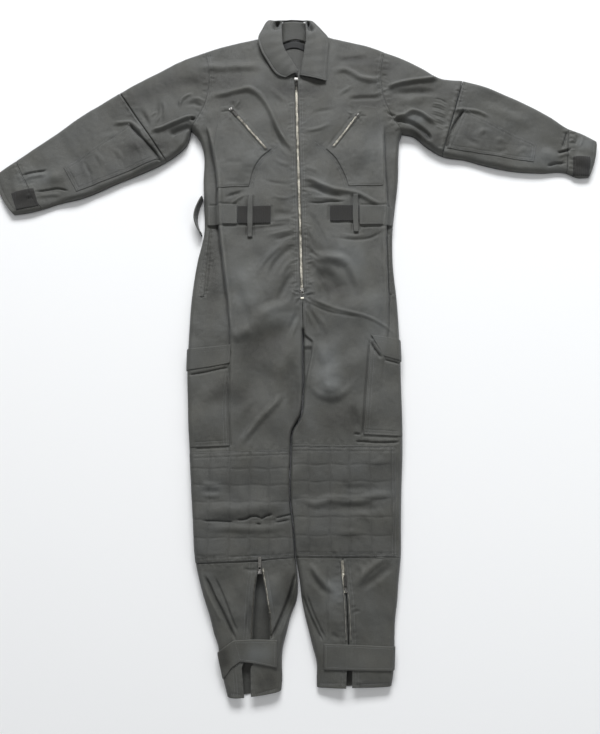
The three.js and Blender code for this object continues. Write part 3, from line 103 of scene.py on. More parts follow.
# Folds, given one by one: name, half width, height (a trough is negative), share of the length that fades
# at each end, and the points it runs through.
FOLDS = [
    ("right belly, mass", 60, 9, 0.35, [(-151, 56), (-90, 76), (-24, 80)]),
    ("right belly, scallop 1", 16, 3.5, 0.3, [(-163, -37), (-140, -27), (-112, -13)]),
    ("right belly, scallop 2", 15, 3.5, 0.3, [(-103, 2), (-75, 29), (-38, 41), (-5, 46)]),
    ("right thigh, shade", 34, -4.5, 0.35, [(-139, -94), (-98, -54), (-47, -30), (-14, -17)]),
    ("right thigh, fall", 70, -5, 0.4, [(-150, -150), (-100, -130), (-50, -120)]),
    ("right thigh, low mass", 50, 3, 0.4, [(-218, -183), (-149, -183), (-69, -172)]),
    ("left belly, mass", 30, 5, 0.35, [(72, 191), (120, 186), (177, 176)]),
    ("left belly, lip", 13, 4, 0.25, [(22, 163), (72, 163), (110, 148), (135, 105), (142, 61)]),
    ("left belly, hollow", 20, -7, 0.3, [(33, 130), (71, 105), (99, 66)]),
    ("left belly, light below", 12, 2.5, 0.4, [(19, 93), (43, 56), (94, 26)]),
    ("left thigh, mass 1", 34, 3, 0.4, [(38, -68), (74, -76), (106, -68)]),
    ("left thigh, mass 2", 30, 5.5, 0.4, [(38, -114), (75, -122), (112, -112)]),
    ("left thigh, mass 3", 21, 6, 0.4, [(44, -148), (76, -159), (108, -148)]),
    ("left thigh, outer mass", 26, 3, 0.4, [(121, -54), (129, -137), (119, -206)]),
    ("right chest, mass", 40, 4, 0.4, [(-178, 443), (-148, 416), (-123, 376)]),
    ("left chest, mass", 40, 4, 0.4, [(112, 484), (139, 443), (172, 403)]),
    ("right shin inner, dark", 3.2, -6, 0.12, [(-9, -563), (-22, -608), (-39, -652), (-64, -705)]),
    ("right shin inner, strip", 4, 2.5, 0.2, [(2, -579), (-9, -617), (-26, -658), (-45, -702)]),
    ("right shin, double", 2.4, -3, 0.2, [(-189, -569), (-164, -621), (-133, -694)]),
    ("left flap, shade", 4, -4.5, 0.25, [(164, -44), (173, -62), (190, -87)]),
    ("left flap, foot", 3, -2.5, 0.15, [(195, -89), (213, -94), (232, -99)]),
    ("right flap, foot", 3, -3, 0.1, [(-258, -125), (-222, -118), (-190, -111), (-164, -106)]),
    ("right cuff, mass", 20, 4, 0.3, [(-708, 326), (-674, 337), (-645, 345)]),
    ("right wrist, mass", 24, 4, 0.35, [(-629, 368), (-589, 390), (-546, 411)]),
    ("left cuff, mass", 16, 4, 0.3, [(677, 428), (706, 420), (730, 412)]),
    ("left wrist, mass", 18, 3, 0.4, [(598, 449), (627, 433), (651, 422)]),
    ("right thigh, inner shade", 14, -3, 0.35, [(-23, -66), (-14, -160), (-18, -252)]),
    ("left shin, middle light", 26, 3, 0.4, [(43, -621), (64, -662), (77, -694)]),
    ("right shin, outer light", 20, 2.5, 0.4, [(-163, -600), (-142, -646), (-129, -682)]),
    ("right yoke, across", 14, 5, 0.25, [(-265, 669), (-191, 674), (-97, 677)]),
    ("right chest arc", 9, 4.5, 0.15,
     [(-237, 592), (-190, 598), (-152, 606), (-127, 609), (-106, 598), (-86, 575), (-73, 550), (-61, 517),
      (-48, 486), (-37, 452), (-31, 425)]),
    ("under the collar, slanting", 8, 1.5, 0.5, [(-86, 626), (-48, 589), (-18, 561)]),
    ("beside zip, dark slant", 8, -3.5, 0.3, [(-73, 528), (-62, 495), (-42, 457), (-22, 427)]),
    ("beside zip, light slant", 5, 2.5, 0.4, [(-50, 495), (-35, 468), (-17, 438)]),
    ("pocket, upper wrinkle", 7, -0.8, 0.5, [(-193, 411), (-136, 405)]),
    ("pocket, lower wrinkle", 7, -0.8, 0.5, [(-192, 360), (-133, 354)]),
    ("below right pocket, dark", 5, -2.5, 0.4, [(-186, 315), (-157, 325), (-130, 333)]),
    ("below right pocket, light", 4, 2, 0.4, [(-173, 294), (-151, 312), (-130, 325)]),
    ("right of zip, chest 1", 6, 1.2, 0.5, [(-69, 424), (-44, 408), (-15, 397)]),
    ("right of zip, chest 2", 5, -1.2, 0.5, [(-103, 370), (-69, 357), (-15, 349)]),
    ("right of zip, chest 3", 5, 1.2, 0.5, [(-78, 323), (-46, 315), (-12, 317)]),
    ("left shoulder, hollow", 12, -3, 0.4, [(84, 692), (128, 695), (184, 692)]),
    ("left yoke, across", 9, 4, 0.3, [(76, 660), (115, 666), (132, 657), (152, 643), (188, 637), (213, 640)]),
    ("left yoke, short", 6, 2, 0.5, [(91, 589), (111, 606), (137, 623)]),
    ("left armhole hollow", 7, -3, 0.3, [(116, 581), (156, 587), (212, 589)]),
    ("left beside zip, upper", 6, 1.8, 0.4, [(3, 495), (45, 500), (80, 517)]),
    ("left beside zip, faint", 6, -1.3, 0.5, [(25, 542), (55, 550), (96, 556)]),
    ("left beside zip, low light", 6, 1.2, 0.5, [(5, 397), (30, 392), (54, 370)]),
    ("left diagonal, lip", 7, 4, 0.15,
     [(2, 370), (29, 362), (54, 349), (83, 339), (113, 333), (142, 325), (176, 307), (205, 291)]),
    ("left diagonal, hollow", 7, -4, 0.3, [(2, 349), (34, 341), (64, 328), (98, 320), (122, 317)]),
    ("left waist crease", 2.6, -3.2, 0.25, [(17, 304), (44, 303), (73, 306), (112, 304)]),
    ("left waist ridge", 5, 1.6, 0.4, [(15, 315), (61, 315), (110, 315)]),
    ("r fan 0 dark", 8, -2.5, 0.4, [(-7, 275), (-39, 275), (-68, 278)]),
    ("r fan 1 light", 6, 2, 0.4, [(-7, 260), (-34, 260), (-73, 257)]),
    ("r fan 2 dark", 6, -2.6, 0.4, [(-7, 247), (-44, 242), (-92, 237), (-138, 231)]),
    ("r fan 3 light", 5, 2, 0.4, [(-7, 231), (-43, 226), (-82, 216)]),
    ("r fan 4 dark", 6, -2.8, 0.4, [(-7, 224), (-36, 213), (-70, 206)]),
    ("r fan 5 light", 8, 3, 0.4, [(-7, 206), (-41, 193), (-86, 152), (-114, 102)]),
    ("r fan 6 dark", 8, -3.5, 0.35, [(-5, 198), (-34, 175), (-62, 140), (-74, 97)]),
    ("r fan 7 light", 7, 2.4, 0.4, [(-5, 165), (-31, 140), (-50, 99)]),
    ("r fan 8 dark", 8, -3.5, 0.35, [(-5, 132), (-26, 107), (-43, 74), (-52, 45)]),
    ("r fan 9 light", 6, 2, 0.4, [(-2, 102), (-19, 72), (-28, 37)]),
    ("l fan 1 dark", 7, -3, 0.3, [(10, 278), (27, 268), (44, 237), (58, 203), (65, 180)]),
    ("l fan 2 light", 6, 2.2, 0.4, [(12, 250), (27, 224), (41, 188)]),
    ("l fan 3 dark", 5, -2.4, 0.4, [(12, 198), (31, 172), (55, 155)]),
    ("l fan 4 light", 14, 3.5, 0.4, [(19, 170), (53, 160), (91, 155), (129, 142)]),
    ("l fan 5 dark", 9, -3, 0.25, [(10, 155), (31, 137), (52, 112), (69, 82), (83, 47)]),
    ("l fan 6 light", 8, 2.2, 0.4, [(14, 117), (33, 92), (47, 57)]),
    ("l hip hollow", 22, -1.5, 0.4, [(107, 127), (124, 82), (137, 28)]),
    ("l hip crease", 3, -1.0, 0.2, [(9, 55), (35, 40), (71, 25), (108, 18), (146, 11)]),
    ("l hip ridge", 4.5, 1.6, 0.2,
     [(12, 65), (43, 50), (76, 37), (118, 25), (160, 13), (193, -4), (216, -21), (234, -38)]),
    ("l under belt crease", 4, -2, 0.35, [(75, 213), (121, 206), (169, 213), (213, 234)]),
    ("l under belt ridge", 5, 1.5, 0.4, [(85, 224), (126, 216), (169, 224)]),
    ("l crotch fan 1", 5, 2.4, 0.4, [(9, 42), (24, 13), (35, -21)]),
    ("l crotch fan 2", 5, -2.4, 0.4, [(17, 42), (35, 8), (51, -31)]),
    ("l crotch fan 3", 6, 1.8, 0.5, [(26, 37), (52, 3), (70, -36)]),
    ("r thigh, top", 26, 5, 0.35, [(-159, -36), (-122, -21), (-89, 8), (-38, 15), (2, 18)]),
    ("r thigh, inner light", 20, 3, 0.5, [(-5, 3), (-30, -64), (-49, -136), (-57, -201)]),
    ("r thigh, hollow", 22, -3, 0.5, [(-112, -64), (-116, -136), (-121, -217)]),
    ("r thigh, slant", 9, 4, 0.25, [(-37, -164), (-64, -199), (-89, -224), (-114, -254), (-138, -288)]),
    ("r thigh, slant hollow", 12, -2.2, 0.5, [(-87, -178), (-114, -210), (-137, -252)]),
    ("r cargo light", 20, 2.2, 0.5, [(-162, -126), (-207, -168), (-252, -210)]),
    ("r crotch fan 1", 6, -2, 0.5, [(2, 42), (-12, 13), (-28, -26)]),
    ("r crotch fan 2", 6, 2, 0.5, [(0, 18), (-16, -21), (-30, -60)]),
    ("l thigh, round end", 9, 1.8, 0.3,
     [(25, -136), (37, -164), (60, -178), (87, -176), (108, -159), (127, -133)]),
    ("l thigh, inner light", 16, 4, 0.4, [(42, -31), (51, -69), (60, -112)]),
    ("l thigh, low hollow", 26, -3.5, 0.5, [(41, -201), (78, -196), (115, -192)]),
    ("l thigh, edge hollow", 10, -3, 0.4, [(117, -192), (126, -229), (134, -261)]),
    ("l below cargo crease", 2.4, -3.6, 0.1, [(123, -278), (141, -278), (163, -280), (193, -281), (227, -279)]),
    ("l below cargo short", 3, -3, 0.3, [(121, -260), (139, -262)]),
    ("r knee crease 1", 2.2, -3, 0.15, [(-217, -454), (-177, -455), (-146, -456)]),
    ("r knee crease 2", 3, -4.6, 0.2, [(-142, -451), (-122, -450), (-107, -444), (-93, -445), (-86, -451)]),
    ("r knee crease 3", 3, -4.4, 0.2, [(-89, -451), (-75, -443), (-60, -439)]),
    ("r knee crease 4", 2.4, -3.4, 0.15, [(-55, -448), (-33, -443), (-13, -439)]),
    ("r knee crease 5", 2.4, -3.5, 0.3, [(-98, -460), (-86, -462)]),
    ("r knee crease 6", 2.4, -2.5, 0.3, [(-58, -458), (-20, -452)]),
    ("r knee roll above", 16, 3.5, 0.3, [(-222, -430), (-151, -430), (-85, -424), (-18, -419)]),
    ("r knee roll below", 9, 2.4, 0.3, [(-221, -471), (-166, -469), (-84, -471), (-18, -465)]),
    ("r knee highlight 1", 8, 1.8, 0.4, [(-226, -377), (-197, -377), (-170, -382)]),
    ("r knee highlight 2", 6, 1.6, 0.4, [(-226, -397), (-197, -399), (-170, -395)]),
    ("r knee middle light", 12, 1.8, 0.5, [(-144, -351), (-130, -386), (-118, -426)]),
    ("l knee roll", 10, 3.2, 0.2,
     [(-13, -404), (13, -408), (29, -415), (67, -406), (100, -408), (134, -408), (165, -399), (219, -399)]),
    ("l knee hollow", 10, -1.6, 0.3, [(11, -428), (67, -428), (116, -426), (209, -426)]),
    ("l knee low 1", 9, 1.8, 0.5, [(115, -448), (138, -441), (168, -456)]),
    ("l knee low 2", 9, 1.8, 0.5, [(66, -486), (99, -480), (133, -482), (145, -499)]),
    ("l knee high", 10, 1.6, 0.5, [(149, -333), (180, -324), (212, -328)]),
    ("l knee high 2", 8, -1.6, 0.5, [(67, -380), (116, -382), (188, -380)]),
    ("r shin fold dark", 3, -5.5, 0.15,
     [(-212, -567), (-200, -586), (-187, -613), (-168, -646), (-151, -679), (-137, -707)]),
    ("r shin fold light", 5, 2.6, 0.3, [(-214, -582), (-200, -609), (-182, -642), (-164, -675)]),
    ("r shin placket wrinkle 1", 5, -2.2, 0.4, [(-117, -613), (-110, -642), (-114, -675), (-105, -703)]),
    ("r shin placket wrinkle 2", 4, 1.6, 0.4, [(-123, -630), (-119, -663), (-120, -695)]),
    ("r shin top wrinkle", 4, -1.8, 0.4, [(-127, -554), (-109, -559), (-90, -557)]),
    ("r shin inner light", 14, 2.5, 0.4, [(-57, -563), (-52, -601), (-52, -634)]),
    ("l shin slant 1", 8, 3.6, 0.3, [(22, -540), (37, -565), (57, -588), (78, -609)]),
    ("l shin slant 1 dark", 7, -3, 0.35, [(17, -554), (31, -580), (48, -601), (65, -617)]),
    ("l shin slant 2", 9, 3.4, 0.3, [(202, -523), (171, -542), (140, -567), (117, -601)]),
    ("l shin slant 2 dark", 9, -3, 0.35, [(210, -540), (183, -563), (152, -586), (126, -605)]),
    ("l shin top light", 8, 2.2, 0.5, [(123, -538), (136, -559), (131, -584)]),
    ("l shin small fold", 3.5, -1.5, 0.35, [(108, -652), (119, -646), (132, -644)]),
    ("l shin inner fold 1", 2.8, -4.5, 0.15, [(4, -607), (17, -642), (32, -675), (49, -707)]),
    ("l shin inner fold 2", 2.4, -3.2, 0.2, [(13, -607), (26, -642), (41, -675), (56, -705)]),
    ("l shin seam wrinkle", 3, -1.6, 0.3, [(59, -538), (61, -601), (58, -663), (60, -707)]),
    ("l shin low 1", 6, -1.8, 0.4, [(64, -691), (73, -695), (86, -705)]),
    ("r shoulder light", 26, 3, 0.4, [(-357, 669), (-306, 680), (-248, 692)]),
    ("r shoulder dark", 16, -2.5, 0.5, [(-340, 623), (-289, 629), (-234, 635)]),
    ("r armhole crinkle 1", 5, 3, 0.3, [(-302, 559), (-300, 581), (-285, 595), (-268, 601)]),
    ("r armhole crinkle 2", 7, -2.6, 0.4, [(-292, 567), (-272, 573), (-244, 561)]),
    ("r armhole crinkle 3", 5, 2, 0.5, [(-278, 587), (-252, 584), (-234, 573)]),
    ("r armpit lip", 6, 6, 0.15,
     [(-263, 534), (-278, 534), (-298, 527), (-323, 516), (-350, 503), (-372, 495)]),
    ("r armpit hollow", 9, -6, 0.25, [(-268, 514), (-285, 506), (-307, 498), (-329, 487)]),
    ("r armpit gap", 5, -6, 0.3, [(-276, 531), (-261, 529)]),
    ("r upper crinkle 1", 6, 2.4, 0.4, [(-348, 587), (-339, 556), (-343, 522)]),
    ("r upper crinkle 2", 4, 1.8, 0.5, [(-376, 531), (-367, 545), (-355, 553)]),
    ("r upper crinkle 3", 4, 1.8, 0.5, [(-365, 514), (-356, 528), (-349, 547)]),
    ("r upper crinkle 4", 7, -2, 0.5, [(-364, 589), (-360, 556), (-368, 522)]),
    ("r upper crinkle 5", 8, 1.6, 0.5, [(-396, 573), (-382, 545), (-373, 511)]),
    ("r upper near seam", 6, -1.6, 0.5, [(-408, 567), (-386, 528), (-370, 500)]),
    ("r elbow light", 6, 3.5, 0.25, [(-476, 520), (-448, 524), (-426, 525), (-408, 509), (-386, 481)]),
    ("r elbow dark", 4, -5.5, 0.1, [(-431, 520), (-407, 492), (-378, 459), (-360, 438), (-344, 413)]),
    ("r elbow inner ridge", 9, 2, 0.5, [(-511, 473), (-474, 489), (-440, 506)]),
    ("r forearm light", 24, 2.6, 0.5, [(-683, 419), (-634, 424), (-591, 446)]),
    ("r forearm light 2", 14, 2.4, 0.5, [(-644, 365), (-605, 373), (-577, 386)]),
    ("r cuff crease 1", 2.4, -3.6, 0.2, [(-692, 378), (-675, 385), (-654, 390), (-624, 394)]),
    ("r cuff crease 1 lip", 6, 2.4, 0.3, [(-686, 368), (-655, 378), (-621, 384)]),
    ("r cuff crease 2", 2.4, -3.6, 0.2, [(-654, 336), (-625, 341), (-596, 345), (-566, 337)]),
    ("r cuff crease 2 lip", 6, 2, 0.3, [(-646, 325), (-617, 329), (-583, 331)]),
    ("r elbow patch 1", 7, 1.6, 0.5, [(-516, 446), (-495, 424), (-484, 397)]),
    ("r elbow patch 2", 7, 1.6, 0.5, [(-467, 457), (-449, 435), (-440, 413)]),
    ("r elbow patch 3", 7, 1.4, 0.5, [(-418, 473), (-402, 451), (-391, 429)]),
    ("r elbow patch 4", 6, -1.5, 0.5, [(-534, 419), (-523, 392), (-512, 370)]),
    ("l shoulder line", 7, 5.5, 0.12, [(218, 615), (249, 626), (287, 636), (325, 642), (351, 646)]),
    ("l shoulder below dark", 10, -3.6, 0.35, [(222, 598), (265, 603), (316, 606), (356, 601)]),
    ("l upper, mid light", 12, 2, 0.5, [(232, 573), (277, 581), (323, 587)]),
    ("l gather 1", 2.2, -1.3, 0.3, [(336, 587), (353, 584), (375, 570)]),
    ("l gather 2", 2.2, 1.2, 0.3, [(330, 575), (350, 571), (372, 559)]),
    ("l gather 3", 2.2, -1.2, 0.3, [(327, 566), (347, 561), (369, 550)]),
    ("l gather 4", 2.2, 1.2, 0.3, [(329, 556), (349, 550), (369, 540)]),
    ("l gather 5", 2.2, -1.2, 0.3, [(327, 546), (349, 539), (369, 531)]),
    ("l gather 6", 2.2, 1.2, 0.3, [(334, 535), (351, 529), (366, 521)]),
    ("l gather 7", 2.2, -1.2, 0.3, [(331, 524), (348, 520), (363, 511)]),
    ("l gather 8", 2.2, 1.0, 0.3, [(338, 513), (350, 507), (360, 500)]),
    ("l elbow light", 6, 4, 0.2, [(379, 550), (397, 556), (417, 557), (450, 553), (479, 536)]),
    ("l elbow dark", 4, -6, 0.1, [(415, 559), (394, 528), (374, 489), (363, 451)]),
    ("l armpit lip", 7, 6, 0.2, [(231, 536), (256, 536), (281, 550), (304, 547), (324, 531), (345, 517)]),
    ("l armpit hollow", 7, -6, 0.15, [(228, 525), (256, 524), (280, 517), (300, 506), (317, 489), (326, 468)]),
    ("l armpit side", 4, -3, 0.3, [(219, 547), (228, 539), (243, 535)]),
    ("l patch blotch 1", 9, 2, 0.5, [(434, 481), (460, 498), (484, 484)]),
    ("l patch blotch 2", 8, 1.8, 0.5, [(483, 465), (501, 476), (515, 462)]),
    ("l patch blotch 3", 8, 1.8, 0.5, [(536, 438), (556, 448), (573, 435)]),
    ("l patch blotch 4", 8, -1.8, 0.5, [(407, 492), (428, 470), (457, 457)]),
    ("l patch blotch 5", 8, -1.6, 0.5, [(467, 451), (496, 443), (527, 451)]),
    ("l forearm light", 16, 2.2, 0.4, [(429, 589), (478, 567), (540, 539), (600, 506)]),
    ("l cuff crease 1", 3, -4, 0.25, [(672, 503), (664, 478), (654, 454)]),
    ("l cuff crease 2", 3, -5, 0.25, [(640, 444), (661, 448), (678, 454)]),
    ("l cuff crease 3", 3.5, -4, 0.25, [(610, 405), (636, 413), (665, 416)]),
    ("l cuff ridge", 6, 2.5, 0.4, [(634, 429), (660, 438), (685, 440)]),
    ("l cuff gather 1", 3, 1.8, 0.4, [(679, 498), (683, 481), (677, 468)]),
    ("l cuff gather 2", 3, -1.8, 0.4, [(692, 495), (693, 478), (686, 462)]),
    ("l cuff gather 3", 3, 1.6, 0.4, [(704, 489), (705, 473), (698, 457)]),
]

# Broad parts with painted light (above 0) or painted shade (below 0): name, half width, share of its tone, the
# points.
PAINTED_LIGHT_AND_SHADE_AREAS = [
    ("left belly", 40, 0.65, [(84, 151), (158, 151)]),
    ("left hip", 28, 0.36, [(176, 94), (173, -53)]),
    ("right belly", 42, 0.47, [(-143, 150), (-127, 43)]),
    ("right belly, middle", 26, 0.61, [(-85, 21), (-23, 11), (14, 16)]),
    ("left thigh", 30, 0.68, [(56, -66), (74, -165)]),
    ("right chest pocket", 30, 0.36, [(-124, 443), (-94, 410)]),
    ("left chest pocket", 28, 0.32, [(189, 486), (182, 389)]),
    ("left of the zip", 22, 0.36, [(54, 376), (63, 289)]),
    ("left shin", 22, 0.68, [(74, -580), (82, -626)]),
    ("right shin", 20, 0.59, [(-89, -584), (-69, -630)]),
    ("right strap, end", 20, 0.61, [(-111, -731), (-60, -731)]),
    ("right cuff", 26, 0.54, [(-697, 379), (-608, 374)]),
    ("left cuff", 18, 0.81, [(695, 471), (734, 468)]),
    ("left wrist", 26, 0.5, [(546, 422), (636, 427)]),
    ("left armpit lip", 14, 0.72, [(265, 529), (311, 535)]),
    ("right knee, outer side", 22, 0.36, [(-224, -386), (-170, -386)]),
    ("left side", 20, 0.27, [(225, 303), (223, 230)]),
    ("right shoulder", 26, -0.43, [(-278, 626), (-198, 637), (-117, 637)]),
    ("under the collar", 22, -0.58, [(-96, 625), (-30, 608), (76, 611)]),
    ("left shoulder", 26, -0.54, [(92, 694), (168, 688), (259, 660)]),
    ("left yoke", 20, -0.5, [(113, 572), (181, 570), (262, 586)]),
    ("right yoke", 18, -0.36, [(-239, 575), (-151, 578)]),
    ("right side", 16, -0.36, [(-213, 220), (-208, 34)]),
    ("right thigh", 34, -0.43, [(-139, -80), (-33, -42)]),
    ("right thigh, outer", 30, -0.36, [(-198, -146), (-110, -178)]),
    ("left thigh, below", 26, -0.47, [(50, -229), (150, -225)]),
    ("beside the inseam", 14, -0.4, [(-14, -171), (0, -252)]),
    ("left belly, hollow", 16, -0.5, [(43, 100), (109, 70)]),
    ("right waist", 16, -0.4, [(-145, 232), (-87, 237)]),
    ("inner shins", 16, -0.59, [(-22, -563), (-17, -634)]),
    ("right hem", 18, -0.5, [(-93, -796), (-51, -784)]),
    ("right strap, fold", 14, -0.59, [(-167, -720), (-158, -760)]),
    ("right sleeve, upper edge", 22, -0.47, [(-260, 643), (-380, 608), (-484, 558)]),
    ("right sleeve, lower edge", 18, -0.58, [(-428, 453), (-314, 459)]),
    ("left sleeve, upper edge", 20, -0.36, [(264, 631), (345, 608), (441, 597)]),
    ("left armpit", 16, -0.58, [(280, 496), (359, 474)]),
]

# ---------------------------------------------------------------- small helpers
def column(table, at, col):
    """Reads a column of a table at a place between its rows; the first column is the key."""
    rows = table[np.argsort(table[:, 0])]
    return np.interp(at, rows[:, 0], rows[:, col])


def smooth(t):
    """Rises softly from 0 to 1 as t does."""
    t = np.clip(t, 0, 1)
    return t * t * (3 - 2 * t)


def arch(u):
    """A quarter round: rises steeply from 0 and levels off at 1."""
    return np.sqrt(np.clip(1 - (1 - np.clip(u, 0, 1)) ** 2, 0, 1))


def bell(x, middle, width):
    """A soft bump, 1 at its middle."""
    return np.exp(-(((x - middle) / width) ** 2))


def turned(x, y, angle):
    """Coordinates along and across a direction at an angle to X."""
    c, s = math.cos(angle), math.sin(angle)
    return x * c + y * s, y * c - x * s


def lengths(line):
    """Length along a line up to each of its points."""
    return np.concatenate([[0], np.cumsum(np.linalg.norm(np.diff(line, axis=0), axis=1))])


def headings(ahead):
    """The directions as unit vectors."""
    return ahead / np.maximum(np.linalg.norm(ahead, axis=1), 1e-9)[:, None]


def curve(points, first=0, last=None, step=4.0):
    """A smooth line through the points, cut between two of them and sampled at about `step`."""
    p = np.asarray(points, float)
    last = len(p) - 1 if last is None else last
    s = lengths(p)
    n = max(2, int(math.ceil((s[last] - s[first]) / step)) + 1)
    at = np.linspace(s[first], s[last], n)
    if len(p) == 2:
        return np.column_stack([np.interp(at, s, p[:, k]) for k in range(p.shape[1])])
    m = np.gradient(p, s, axis=0)
    i = np.clip(np.searchsorted(s, at, side="right") - 1, 0, len(p) - 2)
    h = (s[i + 1] - s[i])[:, None]
    t = (at - s[i])[:, None] / h
    a, b = 2 * t**3 - 3 * t**2 + 1, t**3 - 2 * t**2 + t
    return a * p[i] + b * h * m[i] + (1 - a) * p[i + 1] + (t**3 - t**2) * h * m[i + 1]


def densify(ring, step):
    """The closed ring with points added so that no side is much longer than `step`."""
    out = []
    for a, b in zip(ring, np.roll(ring, -1, 0)):
        n = max(1, int(round(np.linalg.norm(b - a) / step)))
        out += [a + (b - a) * k / n for k in range(n)]
    out = np.array(out)
    return out[np.linalg.norm(out - np.roll(out, 1, 0), axis=1) > 0.25]


def densify_open(points, step):
    """The open line with points added in the same way, its corners kept."""
    p = np.asarray(points, float)
    out = [p[:1]]
    for a, b in zip(p[:-1], p[1:]):
        n = max(1, int(round(np.linalg.norm(b - a) / step)))
        out.append(a + (b - a) * np.arange(1, n + 1)[:, None] / n)
    return np.vstack(out)


def side_normals(line, closed=False):
    """Unit vectors to the left of a line at each of its points."""
    d = np.roll(line, -1, 0) - np.roll(line, 1, 0) if closed else np.gradient(line, axis=0)
    d = headings(d[:, :2])
    return np.column_stack([-d[:, 1], d[:, 0]])


def window(axis, a, b, reach=0.0):
    """The indices of a grid axis from a to b and `reach` beyond them."""
    return np.searchsorted(axis, [min(a, b) - reach, max(a, b) + reach])


def from_segment(a, b, x, y):
    """How far spots are from a segment, and at which share of its length each is nearest."""
    d = b - a
    t = np.clip(((x - a[0]) * d[0] + (y - a[1]) * d[1]) / max(d @ d, 1e-9), 0, 1)
    return np.hypot(x - a[0] - t * d[0], y - a[1] - t * d[1]), t


def signed_distance(ring, reach, pad=4):
    """Distance to a closed ring on a 1 mm grid, positive inside and no more than `reach`."""
    lo, hi = np.floor(ring.min(0)) - pad, np.ceil(ring.max(0)) + pad
    xs, ys = np.arange(lo[0], hi[0] + 1), np.arange(lo[1], hi[1] + 1)
    dist = np.full((len(ys), len(xs)), float(reach))
    inside = np.zeros(dist.shape, bool)
    for a, b in zip(ring, np.roll(ring, -1, 0)):
        i0, i1 = window(xs, a[0], b[0], reach)
        j0, j1 = window(ys, a[1], b[1], reach)
        away, _ = from_segment(a, b, xs[i0:i1][None, :], ys[j0:j1][:, None])
        np.minimum(dist[j0:j1, i0:i1], away, out=dist[j0:j1, i0:i1])
        k0, k1 = window(ys, a[1], b[1])
        if k1 > k0:
            d = b - a
            cross = a[0] + (ys[k0:k1] - a[1]) / d[1] * d[0]
            inside[k0:k1] ^= xs[None, :] < cross[:, None]
    return lo, np.where(inside, dist, -dist)


def sample(field, lo, x, y):
    """Reads a 1 mm grid between its cells."""
    u = np.clip(x - lo[0], 0, field.shape[1] - 1.001)
    v = np.clip(y - lo[1], 0, field.shape[0] - 1.001)
    i, j = u.astype(int), v.astype(int)
    u, v = u - i, v - j
    return ((field[j, i] * (1 - u) + field[j, i + 1] * u) * (1 - v)
            + (field[j + 1, i] * (1 - u) + field[j + 1, i + 1] * u) * v)


def on_line(line, at):
    """The points at given lengths along a line, and its whole length."""
    s = lengths(line)
    return np.column_stack([np.interp(at, s, line[:, k]) for k in range(line.shape[1])]), s[-1]


# ---------------------------------------------------------------- outline
SIDE_R, SIDE_L = [np.vstack([body[:, [1, 0]], shin[1:, [1, 0]]])
                  for body, shin in ((BODY_R, SHIN_R), (BODY_L, SHIN_L))]
IN_R, IN_L = [np.vstack([INSEAM[:, [k, 0]], shin[1:, [3, 2]]]) for k, shin in ((1, SHIN_R), (2, SHIN_L))]
TOP_R, TOP_L = np.vstack([NECK_R[-1:], SLEEVE_R[:, :2]]), np.vstack([NECK_L[-1:], SLEEVE_L[:, :2]])
LOW_R, LOW_L = SLEEVE_R[:, 2:4], SLEEVE_L[:, 2:4]
HIP, FLAP_END, CARGO_END, KNEE = 7, 11, 13, 15  # rows of the side edges where pieces begin or end
KNEE_IN = 9  # row of the inseam at the knee seam

# The outline runs past the open ends at the neck, cuffs and hems, so that the cloth rolls down only at the sides.
OUTLINE = np.vstack([
    curve(TOP_R), [(-790, 358), (-733, 254)], curve(LOW_R)[::-1], curve(SIDE_R)[1:],
    [(-148, -850), (-44, -840)], curve(IN_R)[::-1], curve(IN_L), [(36, -840), (190, -840)],
    curve(SIDE_L)[::-1], curve(LOW_L)[1:], [(750, 340), (782, 460)], curve(TOP_L)[::-1],
    [(60, 880), (-95, 880)]])
PLAN_LO, EDGE = signed_distance(OUTLINE, 40.0, pad=12)
PLAN_X = PLAN_LO[0] + np.arange(EDGE.shape[1])
PLAN_Y = PLAN_LO[1] + np.arange(EDGE.shape[0])
WIDE, HIGH = PLAN_X[None, :], PLAN_Y[:, None]
# the legs press on each other, so that their edges roll more tightly there
EDGE *= 1 + 1.3 * bell(WIDE, column(INSEAM, HIGH, 1), 40) * smooth((-2 - HIGH) / 20) * smooth((HIGH + 545) / 30)


# ---------------------------------------------------------------- height of the upper layer
def base_loft():
    """Height of body and sleeves before any fold, with the step where each front turns over the side."""
    body = np.interp(HIGH, BODY_LOFT[:, 0], BODY_LOFT[:, 1])
    arm = np.interp(np.abs(WIDE), SLEEVE_LOFT[:, 0], SLEEVE_LOFT[:, 1])
    shoulder = smooth((np.abs(WIDE) - 215) / 70) * smooth((HIGH - 380) / 60)
    on_arm = np.maximum(shoulder, smooth((np.abs(WIDE) - 260) / 30))
    z = body + (arm - body) * on_arm
    for table, side in ((BODY_R, -1), (BODY_L, 1)):
        fold = np.abs(column(table, HIGH, 2)) + 0.9 * np.sin(HIGH / 37.0) + 0.4 * np.sin(HIGH / 9.0 + side)
        drop = column(table, HIGH, 3) * smooth((515 - HIGH) / 30) * smooth((HIGH + 560) / 60) * (1 - on_arm)
        away = side * WIDE - fold
        for part in (-drop * smooth((away + 1.7) / 3.4),  # the step
                     -0.28 * drop * bell(away, 2.4, 1.7),  # the groove at its foot
                     0.26 * drop * bell(away, -6.5, 5.5)):  # the roll at its top
            z = z + np.where(side * WIDE > 0, part, 0)
    return z


LOFT = base_loft()
# painted light and shade over broad parts of the cloth, as a share of its colour
PAINTED_LIGHT_AND_SHADE = np.zeros(LOFT.shape)


